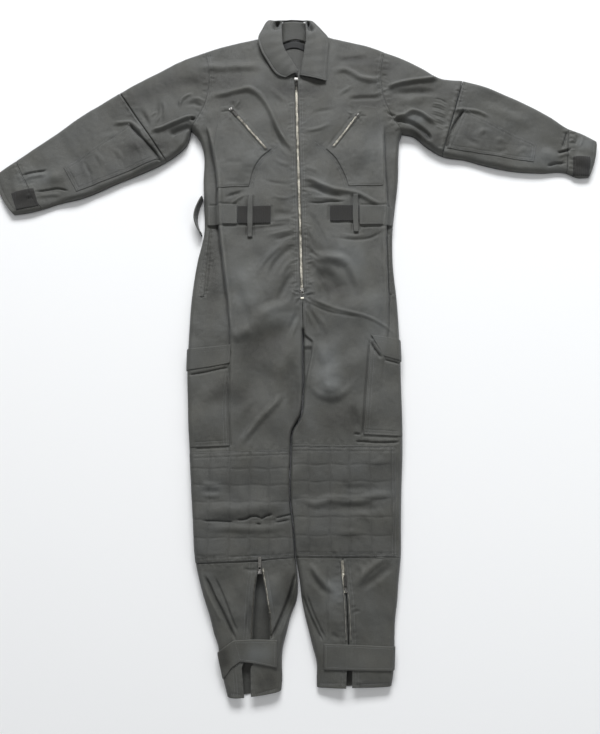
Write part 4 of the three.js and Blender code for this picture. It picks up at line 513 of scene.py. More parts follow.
def stamp(points, half, height, taper=0.3, field=LOFT):
    """Adds one fold to a field: a ridge or trough of half width `half` along the points."""
    line = curve(points, step=max(2.5, half / 3))
    s = lengths(line)
    reach = FOLD_REACH * half
    i0, i1 = window(PLAN_X, line[:, 0].min(), line[:, 0].max(), reach)
    j0, j1 = window(PLAN_Y, line[:, 1].min(), line[:, 1].max(), reach)
    if i1 <= i0 or j1 <= j0:
        return
    best = np.full((j1 - j0, i1 - i0), 9e9)
    share = np.zeros(best.shape)
    for k, (a, b) in enumerate(zip(line[:-1], line[1:])):
        p0, p1 = window(PLAN_X[i0:i1], a[0], b[0], reach)
        q0, q1 = window(PLAN_Y[j0:j1], a[1], b[1], reach)
        away, t = from_segment(a, b, PLAN_X[i0:i1][p0:p1][None, :], PLAN_Y[j0:j1][q0:q1][:, None])
        near = away < best[q0:q1, p0:p1]
        best[q0:q1, p0:p1][near] = away[near]
        share[q0:q1, p0:p1][near] = ((s[k] + t * (s[k + 1] - s[k])) / s[-1])[near]
    bump = np.clip(1 - (best / half / FOLD_REACH) ** 2, 0, 1) ** 3
    ends = smooth(np.minimum(share, 1 - share) / taper) if taper else 1.0
    field[j0:j1, i0:i1] += height * bump * ends


def puckers(line, spacing, reach, amount, sides=(-1, 1), slant=0.25):
    """Short uneven gathers that run out from a seam on one or both sides."""
    line = curve(line, step=2.0)
    normal, s = side_normals(line), lengths(line)
    for side in sides:
        at, sign = rng.uniform(0, spacing), 1
        while at < s[-1]:
            k = int(np.searchsorted(s, at).clip(0, len(line) - 1))
            out = normal[k] * side
            along = np.array([out[1], -out[0]])
            far = reach * rng.uniform(0.45, 1.25)
            a = line[k] + out * 0.8
            b = a + out * far + along * far * rng.normal(0, slant)
            stamp([a, (a + b) / 2 + along * rng.normal(0, 0.8), b], spacing * rng.uniform(0.26, 0.42),
                  sign * 0.6 * amount * rng.uniform(0.4, 1.2), 0.28)
            sign = -sign
            at += spacing * rng.uniform(0.5, 1.05)


def ripples(wave, amount, stretch=1.0, turn=0.0):
    """Soft uneven undulation of the cloth, `wave` long and stretched along a direction."""
    cell = 4.0  # worked out on a coarser grid than the plan's
    shape = (len(PLAN_Y) // 4 + 2, len(PLAN_X) // 4 + 2)
    a, b = turned(np.fft.rfftfreq(shape[1], cell)[None, :], np.fft.fftfreq(shape[0], cell)[:, None], turn)
    k = np.hypot(a, b * stretch) * wave
    wavy = np.fft.irfft2(np.fft.rfft2(rng.standard_normal(shape)) * bell(k, 1, 0.45), s=shape)
    wavy *= amount / wavy.std()
    x, y = np.meshgrid((PLAN_X - PLAN_X[0]) / cell, (PLAN_Y - PLAN_Y[0]) / cell)
    return sample(wavy, (0, 0), x, y)


def ring_line(table, row, shift=0.0):
    """The line across a sleeve at one of its rows, from its upper to its lower edge."""
    ux, uy, lx, ly, bow = table[row]
    d = np.array([lx - ux, ly - uy])
    n = np.array([-d[1], d[0]]) / np.linalg.norm(d)
    t = np.linspace(0, 1, max(3, int(np.linalg.norm(d) / 4.0)))[:, None]
    return np.array([ux, uy]) + d * t + n * bow * 4 * t * (1 - t) + [shift, 0]


def gape_line(table, col, y1, y2, off=0.0, step=6.0):
    """A line from y1 to y2 along a column of a table, moved sideways by `off`."""
    y = np.linspace(y1, y2, max(2, int(abs(y2 - y1) / step) + 1))
    return np.column_stack([column(table, y, col) + off, y])


def centre_line(y1, y2, off=0.0):
    return gape_line(CENTRE, 1, y1, y2, off, 8.0)


for name, half, height, taper, points in FOLDS:
    stamp(points, half, height * (1.0 if "fan" in name or half > BROAD else FOLD_GAIN), taper)
# stamps the painted light and shade of the broad parts
for name, half, tone, points in PAINTED_LIGHT_AND_SHADE_AREAS:
    p = np.array(points, float)  # each patch runs on a little past its points
    stamp(np.vstack([1.3 * p[0] - 0.3 * p[1], p, 1.3 * p[-1] - 0.3 * p[-2]]), 1.2 * half, tone, 0.35, PAINTED_LIGHT_AND_SHADE)

# ---------------------------------------------------------------- seams, gathers and stitched lines
ARM_R, ARM_L = ring_line(SLEEVE_R, 0), ring_line(SLEEVE_L, 0)
SEAM_R, SEAM_L = ring_line(SLEEVE_R, SLEEVE_SEAM), ring_line(SLEEVE_L, SLEEVE_SEAM)
WRIST_R, WRIST_L = ring_line(SLEEVE_R, CUFF_SEAM), ring_line(SLEEVE_L, CUFF_SEAM)
END_R, END_L = ring_line(SLEEVE_R, len(SLEEVE_R) - 1), ring_line(SLEEVE_L, len(SLEEVE_L) - 1)
ZIP_R = [(-172, 552), (-84, 446)]  # slanted chest zips, the slider end first
ZIP_L = [(144, 536), (82, 452)]
POCKET_SEAM_R = [(-51, 463), (-71, 446), (-92, 428), (-108, 406), (-117, 384), (-121, 366), (-125, 345)]
POCKET_SEAM_L = [(39, 466), (58, 452), (75, 436), (90, 418), (99, 401), (112, 372), (119, 346)]
ELBOW_R = [(-549, 335), (-347, 424), (-430, 522), (-585, 399)]
ELBOW_L = [(366, 452), (579, 414), (590, 463), (414, 560)]
LAP = [  # lapped seams that stand up beside the seam line: points, half width, height
    (ARM_R + [6, 0], 6, 0.9), (ARM_L + [-6, 0], 6, 0.9),
    (SEAM_R + [-6, 0], 6, 1.1), (SEAM_L + [-7, 0], 6, 1.1),
    (centre_line(30, 660, -13), 5, 0.7), (centre_line(30, 660, 13), 5, 0.7),
    (centre_line(-10, 58, -3), 4, 0.8), (centre_line(-10, 58, 3), 4, 0.8),
    (gape_line(GAPE_R, 1, -560, -740, -4), 3, 1.4), (gape_line(GAPE_R, 2, -560, -740, 5), 3, 1.4),
    (gape_line(GAPE_L, 1, -536, -740, 3.5), 3, 1.6), (gape_line(GAPE_L, 2, -536, -740, -3.5), 3, 1.6)]
for line, half, height in LAP:
    stamp(line[::2], half, height, 0.02)
GROOVES = [  # where a strap, loop or pocket presses the cloth beside it
    [(-129, 216), (-129.5, 320)], [(-112, 216), (-112, 320)], [(126.5, 229), (126, 320)], [(144, 229), (144, 320)],
    [(-222, 243.5), (-153, 243.5)], [(146, 241.5), (222, 241.5)], [(-222, 300), (-153, 300)],
    [(146, 297), (222, 297)], [(-161, -66), (-162, -181), (-157, -291)], [(-160, -291), (-236, -294)],
    [(162, -40), (151, -158), (142, -265)], [(142, -266), (222, -270)], [(-217, 243), (-219.5, 156), (-225, 68)],
    [(217, 232), (218, 150), (219, 70)], [(-68, 250), (-68, 294)], [(70, 256), (70, 295)],
    [(-150, 246), (-72, 246)], [(74, 252), (142, 252)]]
for line in GROOVES:
    stamp(line, 2.6, -1.7, 0.03)
for line in (SEAM_R, SEAM_L):
    stamp(line[::2], 2.2, -2.4, 0.02)
stamp([(162, -52), (151, -158), (142, -262)], 2.2, -2.2, 0.03)

LEFT, RIGHT = (1,), (-1,)  # sides of a line, for someone who walks along it
GATHERS = [  # seam, spacing, reach, height, side if it is only one
    (centre_line(68, 640, -5), 9, 17, 0.9, LEFT), (centre_line(68, 640, 5), 9, 17, 0.9, RIGHT),
    (centre_line(70, 260, -5), 8, 24, 1.5, LEFT), (centre_line(70, 260, 5), 8, 24, 1.5, RIGHT),
    (centre_line(305, 345, 5), 7, 24, 1.5, RIGHT),
    (ARM_R[2:-2], 12, 16, 1.3), (ARM_L[2:-2], 11, 18, 1.4),
    (SEAM_R[1:-1], 12, 15, 1.2), (SEAM_L[1:-1], 10, 16, 1.3),
    (WRIST_R[1:-1], 10, 17, 1.3), (WRIST_L[1:-1], 9, 20, 1.6), (ZIP_R, 9, 12, 0.8), (ZIP_L, 9, 12, 0.8),
    (POCKET_SEAM_R, 10, 11, 0.8), (POCKET_SEAM_L, 10, 11, 0.8),
    (gape_line(GAPE_R, 1, -560, -815, -6), 10, 16, 1.1, LEFT),
    (gape_line(GAPE_R, 2, -560, -815, 6), 10, 14, 1.1, RIGHT),
    (gape_line(GAPE_L, 1, -540, -800, 6), 10, 14, 0.9), (gape_line(GAPE_L, 2, -540, -800, -6), 10, 14, 0.9),
    ([(-232, 60), (-222, 150), (-222, 232)], 8, 12, 1.0), ([(217, 60), (217, 150), (216, 232)], 8, 12, 1.0),
    ([(-225, -306), (-23, -298)], 13, 16, 0.9), ([(-15, -288), (216, -288)], 13, 16, 0.9),
    ([(-222, -545), (-12, -533)], 12, 15, 1.1), ([(-8, -531), (216, -531)], 12, 15, 1.1)]
for row in GATHERS:
    puckers(*row)
for x, y, count in ((5, 66, 15), (-168, 551, 7), (141, 535, 7)):  # gathers that fan out round the sliders
    for k in range(count):
        angle = 2 * math.pi * (k + rng.uniform(-0.3, 0.3)) / count
        out = np.array([math.cos(angle), math.sin(angle)])
        stamp([out * 7 + (x, y), out * rng.uniform(18, 34) + (x, y)], 3.2,
              (1.5 if k % 2 else -1.5) * rng.uniform(0.6, 1.2), 0.3)

WEDGE = np.array([  # a sunk wedge of the inner leg, seen between the two legs below the crotch
    (7, -16), (13, -29), (29, -44), (27, -78), (18, -120), (10, -168), (8, -168), (8, -100), (7.4, -16)], float)
WEDGE_DEPTH = np.array([(-168, 1.5), (-110, 4.5), (-63, 6.5), (-55, 2.0), (-30, 7.0), (-16, 3.0)])  # y, depth
wedge_lo, in_wedge = signed_distance(WEDGE, 12.0)
x, y = np.meshgrid(PLAN_X, PLAN_Y)
LOFT -= column(WEDGE_DEPTH, y, 1) * smooth((sample(in_wedge, wedge_lo, x, y) + 0.6) / 2.4)
stamp(WEDGE[1:6] + [3.5, 0], 3.5, 1.2, 0.2)
LOFT += ripples(130, 1.5) + ripples(66, 0.42) + ripples(31, 0.24, 2.2, 0.35) + ripples(17, 0.1)


def both_rows(ring):
    """Two rows of stitches inside each side of a patch."""
    middle = np.mean(ring, axis=0)
    for a, b in zip(np.array(ring), np.roll(ring, -1, 0)):
        inward = (middle - (a + b) / 2) / np.linalg.norm(middle - (a + b) / 2)
        along = (b - a) / np.linalg.norm(b - a)
        for gap, short in ((3, 4), (9, 9)):  # how far inside the edge, and how far short of the corners
            yield [a + inward * gap + along * short, b + inward * gap - along * short], (0,), PLY


def box_rows(ring, lift):
    """A row of stitches along each side of a strap."""
    return [([a, b], (0,), lift, True) for a, b in zip(ring, ring[1:] + ring[:1])]


SEWING = [  # line, how far to its left each row of stitches lies, lift of the ply, whether it is on a strap
    (centre_line(64, 664, -9)[::4], (0, 5)), (centre_line(64, 664, 9)[::4], (0, -5)),
    (centre_line(-12, 56, -3), (0,)), (centre_line(-12, 56, 6), (0,)),
    (ARM_R[1:-1:4] + [3, 0], (0, 6)), (ARM_L[1:-1:4] + [-9, 0], (0, 6)),
    (SEAM_R[1:-1:4] + [-3, 0], (0, -6)), (SEAM_L[1:-1:4] + [3, 0], (0, 6)),
    (WRIST_R[1:-1:4] + [-4, -2], (0,)), (WRIST_L[1:-1:4] + [4, -1], (0,)),
    (END_R[2:-1:3] + [7, 4], (0,)), (END_L[2:-1:3] + [-7, 3], (0,)),
    (POCKET_SEAM_R, (2.2, 8.2), PLY), (POCKET_SEAM_L, (-2.2, -8.2), PLY),
    ([(-204, 343), (-165, 345.5), (-126, 348)], (0,), PLY), ([(205, 351), (163, 350), (122, 349)], (0, 6), PLY),
    (ZIP_R, (-12, -7.5, 7.5), PLY), (ZIP_L, (-12, -7.5, 7.5), PLY),
    ([(-164, -99), (-185, -101), (-228, -110)], (-4, -9), 2 * PLY, True),
    ([(-164, -54), (-228, -60)], (3, 9), 2 * PLY, True), ([(172, -33), (222, -44)], (-3, -9), 2 * PLY, True),
    ([(-163, -120), (-168, -181), (-163, -288)], (-2.5, -8.5), PLY), ([(-160, -284), (-238, -288)], (-2, -8), PLY),
    ([(166, -48), (156, -158), (147, -260)], (2.5, 8.5), PLY), ([(148, -259), (222, -264)], (2, 8), PLY),
    ([(-240, -304), (-23, -296)], (-3, -12), PLY), ([(-18, -287), (212, -289)], (-3, -12), PLY),
    ([(-230, -546), (-14, -534)], (3, 9), PLY), ([(-8, -531), (214, -532)], (3, 9), PLY),
    ([(213, -530), (217, -410), (218, -292)], (4, 10), PLY), *both_rows(ELBOW_R), *both_rows(ELBOW_L),
    (gape_line(GAPE_R, 1, -545, -815, -13)[::3], (0, -6)), (gape_line(GAPE_R, 2, -560, -700, 11)[::3], (0,)),
    (gape_line(GAPE_L, 1, -540, -797, 8)[::3], (0, 6)), (gape_line(GAPE_L, 2, -540, -797, -8)[::3], (0,)),
    ([(-146, -812), (-124, -815)], (0,)), ([(-96, -814), (-46, -801)], (0,)),
    ([(118, -794), (188, -792)], (0,)), ([(42, -793), (94, -792)], (0,)),
    ([(-232, 64), (-229, 150), (-223, 232)], (0,), PLY), ([(214, 66), (214, 150), (212, 230)], (0,), PLY),
    *box_rows([(-156, 251), (-221, 251), (-221, 293), (-156, 293)], 3.2),
    *box_rows([(148, 249), (220, 249), (220, 290), (148, 290)], 3.2),
    *box_rows([(-139, -709), (-53, -708), (-54, -755), (-101, -746), (-128, -743)], 3.5),
    *box_rows([(56, -716), (56, -759), (196, -761), (198, -722)], 3.5)]
ROWS = []  # each row of stitches: its points, its lift, and whether it is on a strap


def sew(points, offsets, lift=0.0, on_strap=False):
    """Notes rows of stitches beside a line, and dents the cloth along them."""
    line = densify_open(points, 3.0) if on_strap else curve(points, step=3.0)
    for off in offsets:
        row = line + side_normals(line) * off
        ROWS.append((row, lift, on_strap))
        if not on_strap:
            stamp(row[:: max(1, len(row) // 60)], 2.4, -0.75, 0)


for row in SEWING:
    sew(*row)


# ---------------------------------------------------------------- surfaces
def blurred(field, width):
    """The field without what is narrower than about `width`."""
    f = np.hypot(np.fft.fftfreq(field.shape[0])[:, None], np.fft.rfftfreq(field.shape[1])[None, :])
    return np.fft.irfft2(np.fft.rfft2(field) * np.exp(-0.5 * (2 * math.pi * width * f) ** 2), s=field.shape)


BROAD_LOFT = blurred(LOFT, 9)
CREST = LOFT - BROAD_LOFT  # how far the cloth stands above its surroundings: crests wear pale, and troughs get painted shade


def top_z(x, y, field=LOFT):
    """Height of the upper layer, rolled down at the side edges."""
    return EDGE_Z + (sample(field, PLAN_LO, x, y) - EDGE_Z) * arch(sample(EDGE, PLAN_LO, x, y) / ROLL_TOP)


def strap_z(x, y):
    """Height of the upper layer without its small wrinkles, for straps that bridge them."""
    return top_z(x, y, BROAD_LOFT)


def under_z(x, y):
    """Height of the lower layer, flat on the surface and rolled up at the side edges."""
    return EDGE_Z * (1 - arch(sample(EDGE, PLAN_LO, x, y) / ROLL_UNDER))


def up_from(height, x, y, reach=0.7):
    """Unit normals of the sheet z = height(x, y)."""
    gx = (height(x + reach, y) - height(x - reach, y)) / (2 * reach)
    gy = (height(x, y + reach) - height(x, y - reach)) / (2 * reach)
    n = np.column_stack([-np.clip(gx, -6, 6), -np.clip(gy, -6, 6), np.ones(len(x))])
    return n / np.linalg.norm(n, axis=1)[:, None]


def upright(z):
    """Vectors straight up, of the given lengths."""
    return np.column_stack([0 * z, 0 * z, z])


def quads(a, b, c, d):
    """Two triangles for each foursome of points."""
    return np.vstack([np.column_stack([a, b, c]), np.column_stack([a, c, d])])


def contains(ring, spots):
    """Whether each spot lies inside the closed ring."""
    a, b = ring, np.roll(ring, -1, 0)
    y = spots[:, 1][:, None]
    cross = (a[:, 1] > y) != (b[:, 1] > y)
    span = np.where(b[:, 1] == a[:, 1], 1.0, b[:, 1] - a[:, 1])
    left = spots[:, 0][:, None] < a[:, 0] + (y - a[:, 1]) / span * (b[:, 0] - a[:, 0])
    return (cross & left).sum(1) % 2 == 1


def mesh_over(ring, spacing, insets):
    """Triangles over a closed ring of the plan, the points that lie on it, and each point's distance from it."""
    ring = np.asarray(ring, float)
    ring = ring[np.linalg.norm(ring - np.roll(ring, 1, 0), axis=1) > 0.3]
    if np.sum(ring[:, 0] * np.roll(ring[:, 1], -1) - np.roll(ring[:, 0], -1) * ring[:, 1]) < 0:
        ring = ring[::-1]
    ring = densify(ring, spacing)
    lo, inside = signed_distance(ring, max(insets) + spacing + 2)
    points = [ring]
    normal = side_normals(ring, closed=True)
    for off in insets:
        moved = ring + normal * off
        points.append(moved[sample(inside, lo, moved[:, 0], moved[:, 1]) > 0.86 * off])
    xs = np.arange(lo[0], lo[0] + inside.shape[1], spacing)
    ys = np.arange(lo[1], lo[1] + inside.shape[0], spacing * 0.87)
    gx, gy = np.meshgrid(xs, ys)
    gx = gx + (np.arange(len(ys)) % 2)[:, None] * spacing / 2
    free = np.column_stack([gx.ravel(), gy.ravel()])
    points.append(free[sample(inside, lo, free[:, 0], free[:, 1]) > max(insets) + 0.5 * spacing])
    flat = np.round(np.vstack(points) * 64) / 64  # exact in single precision, so that points can be matched
    ring = flat[:len(ring)]
    got = delaunay_2d_cdt([Vector(p) for p in flat.tolist()], [], [list(range(len(ring)))], 1, 1e-5, False)
    xy = np.array([tuple(v) for v in got[0]])
    faces = np.array([f for f in got[2] if len(f) == 3])
    place = {tuple(p): k for k, p in enumerate(xy.tolist())}
    border = np.array([place[tuple(p)] for p in ring.tolist() if tuple(p) in place])
    border = border[np.concatenate([[True], border[1:] != border[:-1]])]
    on_edge = np.zeros(len(xy), bool)
    on_edge[border] = True
    doubtful = np.nonzero(on_edge[faces].all(1))[0]  # these may bridge a hollow of the ring
    faces = np.delete(faces, doubtful[~contains(ring, xy[faces[doubtful]].mean(1))], axis=0)
    away = np.clip(sample(inside, lo, xy[:, 0], xy[:, 1]), 0, None)
    away[border] = 0
    return xy, faces, border, away


def under_patch(ring, spacing, thick=0.0):
    """The lower layer of cloth, bare or as a closed wall that thins towards the side edges."""
    xy, faces, border, _ = mesh_over(ring, spacing, (0.6, 2.0, 4.5, 8.0))
    x, y = xy.T
    p = np.column_stack([x, y, under_z(x, y)])
    m = len(p)
    if not thick:
        return p, faces[:, ::-1], xy, np.zeros(m)
    inner = p + upright(0.3 + (thick - 0.3) * arch(sample(EDGE, PLAN_LO, x, y) / 5))
    after = np.roll(border, -1)
    tris = np.vstack([faces[:, ::-1], faces + m, quads(border, after, after + m, border + m)])
    # the inner face is darkened: painted shade inside the hollow
    return np.vstack([p, inner]), tris, np.vstack([xy, xy]), np.concatenate([np.zeros(m), np.full(m, -5.0)])


def patch(ring, lift=0.0, ply=0.0, spacing=FINE, extra=None, turn=0.0, fade=None, rim=4.0, base=top_z):
    """One layer of cloth on top, over a closed ring: points, triangles, grain coordinates, and wear with painted
    shade.

    `lift` is its height above `base`, `ply` a further step up inside its edge, `extra` its own relief, `fade`
    where it sinks into the cloth below, `rim` the depth of its turned-under edge, and `turn` its grain's.
    """
    xy, faces, border, away = mesh_over(ring, spacing, (0.5, 1.3, 2.7))
    x, y = xy.T
    off = lift + ply * arch(away / 1.4) if ply else lift - 0.9 * (1 - arch(away / 1.4))
    wear = sample(CREST, PLAN_LO, x, y)
    if extra:
        off = off + extra(x, y) * arch(away / 4)
        # the quilting grooves are painted darker and the puffs paler: painted shade in the grooves
        wear = wear + 3.5 * (extra(x, y) - 0.2)
    if fade:
        off = off * fade(x, y) - 0.5 * (1 - fade(x, y))
    p = np.column_stack([x, y, base(x, y)]) + up_from(base, x, y) * off[:, None]
    wear = wear + (1.2 * bell(away, 1.2, 1.1) if ply else 0.5 * bell(away, 1.0, 0.9))
    verts, tris, grain = [p], [faces], [xy]
    inward = side_normals(xy[border], closed=True)
    last, count = border, len(p)
    for moved, down in ((0.5, 0.7 + 0.5 * lift), (rim, 1.5 + 1.1 * lift)):  # the edge shows its thickness
        q = p[border] - [0, 0, down]
        q[:, :2] += inward * moved
        q[:, 2] = np.maximum(q[:, 2], 0.3)
        here = count + np.arange(len(border))
        tris.append(quads(np.roll(last, -1), last, here, np.roll(here, -1)))
        verts.append(q)
        grain.append(xy[border] + inward * moved)
        last, count = here, count + len(border)
    grain = np.column_stack(turned(*np.vstack(grain).T, turn))
    return np.vstack(verts), np.vstack(tris), grain, np.concatenate([wear, np.zeros(2 * len(border))])


def make(name, parts, material, stands_for=()):
    """Joins surfaces, each (points, triangles, grain, wear and painted shade), into one named piece of the part.
    """
    verts, tris, grain, wear = zip(*parts)
    start = np.cumsum([0] + [len(v) for v in verts[:-1]])
    tris = np.vstack([t + k for t, k in zip(tris, start)])
    verts, grain, wear = np.vstack(verts), np.vstack(grain), np.concatenate(wear)
    mesh = bpy.data.meshes.new(name)
    mesh.vertices.add(len(verts))
    mesh.vertices.foreach_set("co", ((verts + SHIFT) / 1000).astype(np.float32).ravel())
    mesh.loops.add(3 * len(tris))
    mesh.loops.foreach_set("vertex_index", tris.astype(np.int32).ravel())
    mesh.polygons.add(len(tris))
    mesh.polygons.foreach_set("loop_start", np.arange(0, 3 * len(tris), 3, dtype=np.int32))
    mesh.update(calc_edges=True)
    mesh.validate()
    uv = mesh.uv_layers.new(name="grain")
    index = np.zeros(len(mesh.loops), np.int32)
    mesh.loops.foreach_get("vertex_index", index)
    uv.data.foreach_set("uv", (grain[index] / 1000).astype(np.float32).ravel())
    # the first layer holds pale worn crests and painted shade in troughs, grooves and inner faces; the "fade"
    # layer holds painted light and shade over broad parts
    for layer, values in (("wear", wear), ("fade", sample(PAINTED_LIGHT_AND_SHADE, PLAN_LO, verts[:, 0], verts[:, 1]))):
        mesh.attributes.new(layer, "FLOAT", "POINT").data.foreach_set("value", values.astype(np.float32))
    mesh.polygons.foreach_set("use_smooth", np.full(len(mesh.polygons), True))
    mesh.materials.append(material)
    obj = bpy.data.objects.new(name, mesh)
    bpy.context.scene.collection.objects.link(obj)
    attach(obj, "suit")
    if stands_for:
        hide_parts(*stands_for)


def wall(grid, half):
    """A closed wall on a grid of points, moved by `half` to both sides along the normals."""
    g = np.asarray(grid, float)
    rows, cols = g.shape[:2]
    n = np.cross(np.gradient(g, axis=0), np.gradient(g, axis=1))
    n /= np.maximum(np.linalg.norm(n, axis=2), 1e-9)[..., None]
    across = np.concatenate([np.zeros((rows, 1)), np.cumsum(np.linalg.norm(np.diff(g, axis=1), axis=2), 1)], 1)
    along = np.concatenate([np.zeros((1, cols)), np.cumsum(np.linalg.norm(np.diff(g, axis=0), axis=2), 0)], 0)
    verts = np.vstack([(g + n * half).reshape(-1, 3), (g - n * half).reshape(-1, 3)])
    m = rows * cols
    k = np.arange(m).reshape(rows, cols)
    a, b, c, d = [part.ravel() for part in (k[:-1, :-1], k[:-1, 1:], k[1:, 1:], k[1:, :-1])]
    tris = [quads(a, b, c, d), quads(a, b, c, d)[:, ::-1] + m]
    for line, flipped in ((k[0], True), (k[-1], False), (k[:, 0], False), (k[:, -1], True)):
        p, q = line[:-1], line[1:]
        side = quads(p, q, q + m, p + m)
        tris.append(side[:, ::-1] if flipped else side)
    grain = np.column_stack([across.ravel(), along.ravel()])
    return verts, np.vstack(tris), np.vstack([grain, grain]), np.zeros(len(verts))


# ---------------------------------------------------------------- materials
def new_material(name, slot):
    mat = bpy.data.materials.new(name)
    mat["slot"] = slot
    mat.use_nodes = True
    return mat, mat.node_tree.nodes["Principled BSDF"]


def fill(node, inputs):
    """Sets a node's inputs, each to a value or to a link from another node's output."""
    for key, value in inputs.items():
        if isinstance(value, bpy.types.NodeSocket):
            node.id_data.links.new(value, node.inputs[key])
        else:
            node.inputs[key].default_value = value


def add_node(tree, kind, inputs, **settings):
    node = tree.nodes.new(kind)
    for key, value in settings.items():
        setattr(node, key, value)
    fill(node, inputs)
    return node


def cloth_material(name, slot, colour, twill=1.0, rough=0.6, sheen=0.14, ribs=0.0, mottle=1.0):
    """Woven cloth: diagonal twill lines or upright pile ribs, thread noise, soft blotches, pale worn crests with
    painted shade in the troughs, and painted light and shade over broad parts.
    """
    mat, bsdf = new_material(name, slot)
    tree = mat.node_tree

    def calc(kind, *values):
        return add_node(tree, "ShaderNodeMath", dict(enumerate(values)), operation=kind).outputs[0]

    def noise(where, scale, detail=2.0, roughness=0.5):
        inputs = {"Vector": where, "Scale": scale, "Detail": detail, "Roughness": roughness}
        return add_node(tree, "ShaderNodeTexNoise", inputs).outputs["Fac"]

    def swing(noise_value, amount):
        """The noise made to vary about zero."""
        return calc("MULTIPLY", calc("SUBTRACT", noise_value, 0.5), amount * mottle)

    def stored(layer):
        return add_node(tree, "ShaderNodeAttribute", {}, attribute_name=layer).outputs["Fac"]

    def wave(length, size, across):
        return calc("MULTIPLY", calc("SINE", calc("MULTIPLY", across, 2 * math.pi / length)), size)

    grain = add_node(tree, "ShaderNodeUVMap", {}, uv_map="grain").outputs[0]
    u, v = add_node(tree, "ShaderNodeSeparateXYZ", {0: grain}).outputs[:2]
    place = add_node(tree, "ShaderNodeTexCoord", {}).outputs["Object"]

    # colour: broad, middling and fine blotches, slubs along warp and weft, worn crests with painted shade in the
    # troughs, and painted light and shade over broad parts, the painted light tinted cool
    tone = calc("MULTIPLY_ADD", calc("SUBTRACT", noise(place, 7, 3), 0.5), 0.15 * mottle, 1.0)
    tone = calc("ADD", tone, swing(noise(place, 38, 3), 0.12))
    tone = calc("ADD", tone, swing(noise(place, 420, 2), 0.36))
    for stretch in ((1, 14, 1), (14, 1, 1)):
        pulled = add_node(tree, "ShaderNodeVectorMath", {0: grain, 1: stretch}, operation="MULTIPLY").outputs[0]
        tone = calc("ADD", tone, swing(noise(pulled, 75, 2), 0.30))
    # pale worn crests and painted shade in troughs, grooves and inner faces, as a share of the colour
    worn = calc("MAXIMUM", calc("MINIMUM", calc("MULTIPLY", stored("wear"), 0.045), 0.26), -0.22)
    # painted light and shade over broad parts
    painted_light_tone = stored("fade")
    tone = calc("ADD", tone, calc("ADD", worn, painted_light_tone))
    # the painted light also turns the colour cooler, the tint of a painted highlight
    cool_share_with_painted_highlight = calc("ADD", noise(place, 16, 2), calc("ADD", calc("MULTIPLY", painted_light_tone, 0.8), -0.1))
    warm, cool = [(*(c * k for c, k in zip(colour, tint)), 1)
                  for tint in ((1.03, 1.01, 0.96), (0.955, 0.99, 1.08))]
    tint = add_node(tree, "ShaderNodeMix", {"Factor": cool_share_with_painted_highlight, 6: warm, 7: cool}, data_type="RGBA")
    scaled = add_node(tree, "ShaderNodeVectorMath", {0: tint.outputs[2], "Scale": tone}, operation="SCALE")

    # relief: threads, the lines of the weave or the ribs of the pile, and under them small crinkles
    height = calc("MULTIPLY", noise(grain, 900, 2), 0.5)
    if twill:
        height = calc("ADD", height, wave(0.0011, 0.35 * twill, calc("ADD", u, v)))
        height = calc("ADD", height, wave(0.0021, 0.12 * twill, calc("SUBTRACT", u, v)))
    if ribs:
        height = calc("ADD", height, wave(0.0052, 1.3 * ribs, u))
    fine = add_node(tree, "ShaderNodeBump", {"Strength": 0.55, "Distance": 0.00032, "Height": height})
    crinkle = calc("ADD", noise(place, 95, 3, 0.55), calc("MULTIPLY", noise(place, 260, 2), 0.35))
    soft = add_node(tree, "ShaderNodeBump", {"Strength": 0.5, "Distance": 0.0008, "Height": crinkle,
                                             "Normal": fine.outputs[0]})
    fill(bsdf, {"Base Color": scaled.outputs[0], "Normal": soft.outputs[0], "Roughness": rough,
                "Specular IOR Level": 0.4, "Sheen Weight": sheen, "Sheen Roughness": 0.42,
                "Sheen Tint": (0.86, 0.9, 1.0, 1)})
    return mat


def metal_material(name, slot, colour, rough, grain=300, dark=0.62):
    """Worn metal, darker by the factor `dark` where grime sits."""
    mat, bsdf = new_material(name, slot)
    tree = mat.node_tree
    place = add_node(tree, "ShaderNodeTexCoord", {}).outputs["Object"]
    grime = add_node(tree, "ShaderNodeTexNoise", {"Scale": grain, "Detail": 3, "Vector": place})
    ramp = add_node(tree, "ShaderNodeValToRGB", {"Fac": grime.outputs["Fac"]})
    for element, position, factor in zip(ramp.color_ramp.elements, (0.3, 0.62), (dark, 1)):
        element.position = position
        element.color = (*(c * factor for c in colour), 1)
    fill(bsdf, {"Base Color": ramp.outputs[0], "Metallic": 1.0, "Roughness": rough})
    return mat


CLOTH = cloth_material("charcoal twill", "flight_cloth", (0.068, 0.068, 0.0605))
QUILT = cloth_material("quilted twill", "quilted_patch", (0.063, 0.063, 0.0565), sheen=0.12)
PILE = cloth_material("hook and loop pile", "pile_tape", (0.030, 0.029, 0.027), twill=0, rough=0.95, ribs=1.6)
TAPE = cloth_material("zip tape", "zip_tape", (0.024, 0.024, 0.023), twill=0.4, rough=0.85, sheen=0.08)
THREAD = cloth_material("sewing thread", "flight_cloth", (0.135, 0.137, 0.132), twill=0, rough=0.55, mottle=0.6)
LABEL = cloth_material("plain woven label", "label", (0.022, 0.022, 0.022), twill=0.3, rough=0.8, sheen=0.15)
TEETH = metal_material("zip teeth", "zip_teeth", (0.60, 0.57, 0.49), 0.38, 75, 0.22)
# a darker copy of the teeth metal: painted shade for teeth that lie in shade
TEETH_PAINTED_SHADE = metal_material("zip teeth in shade", "zip_teeth", (0.13, 0.125, 0.11), 0.5)
METAL = metal_material("pull metal", "zip_hardware", (0.16, 0.155, 0.145), 0.25)
BRIGHT = metal_material("slider metal", "zip_hardware", (0.4, 0.39, 0.37), 0.36, 140, 0.3)
# a dimmer copy of the teeth metal with more grime, for the lower teeth of the left leg zip
TEETH_DIMMER = metal_material("zip teeth, worn", "zip_teeth", (0.38, 0.37, 0.335), 0.5, 90, 0.45)


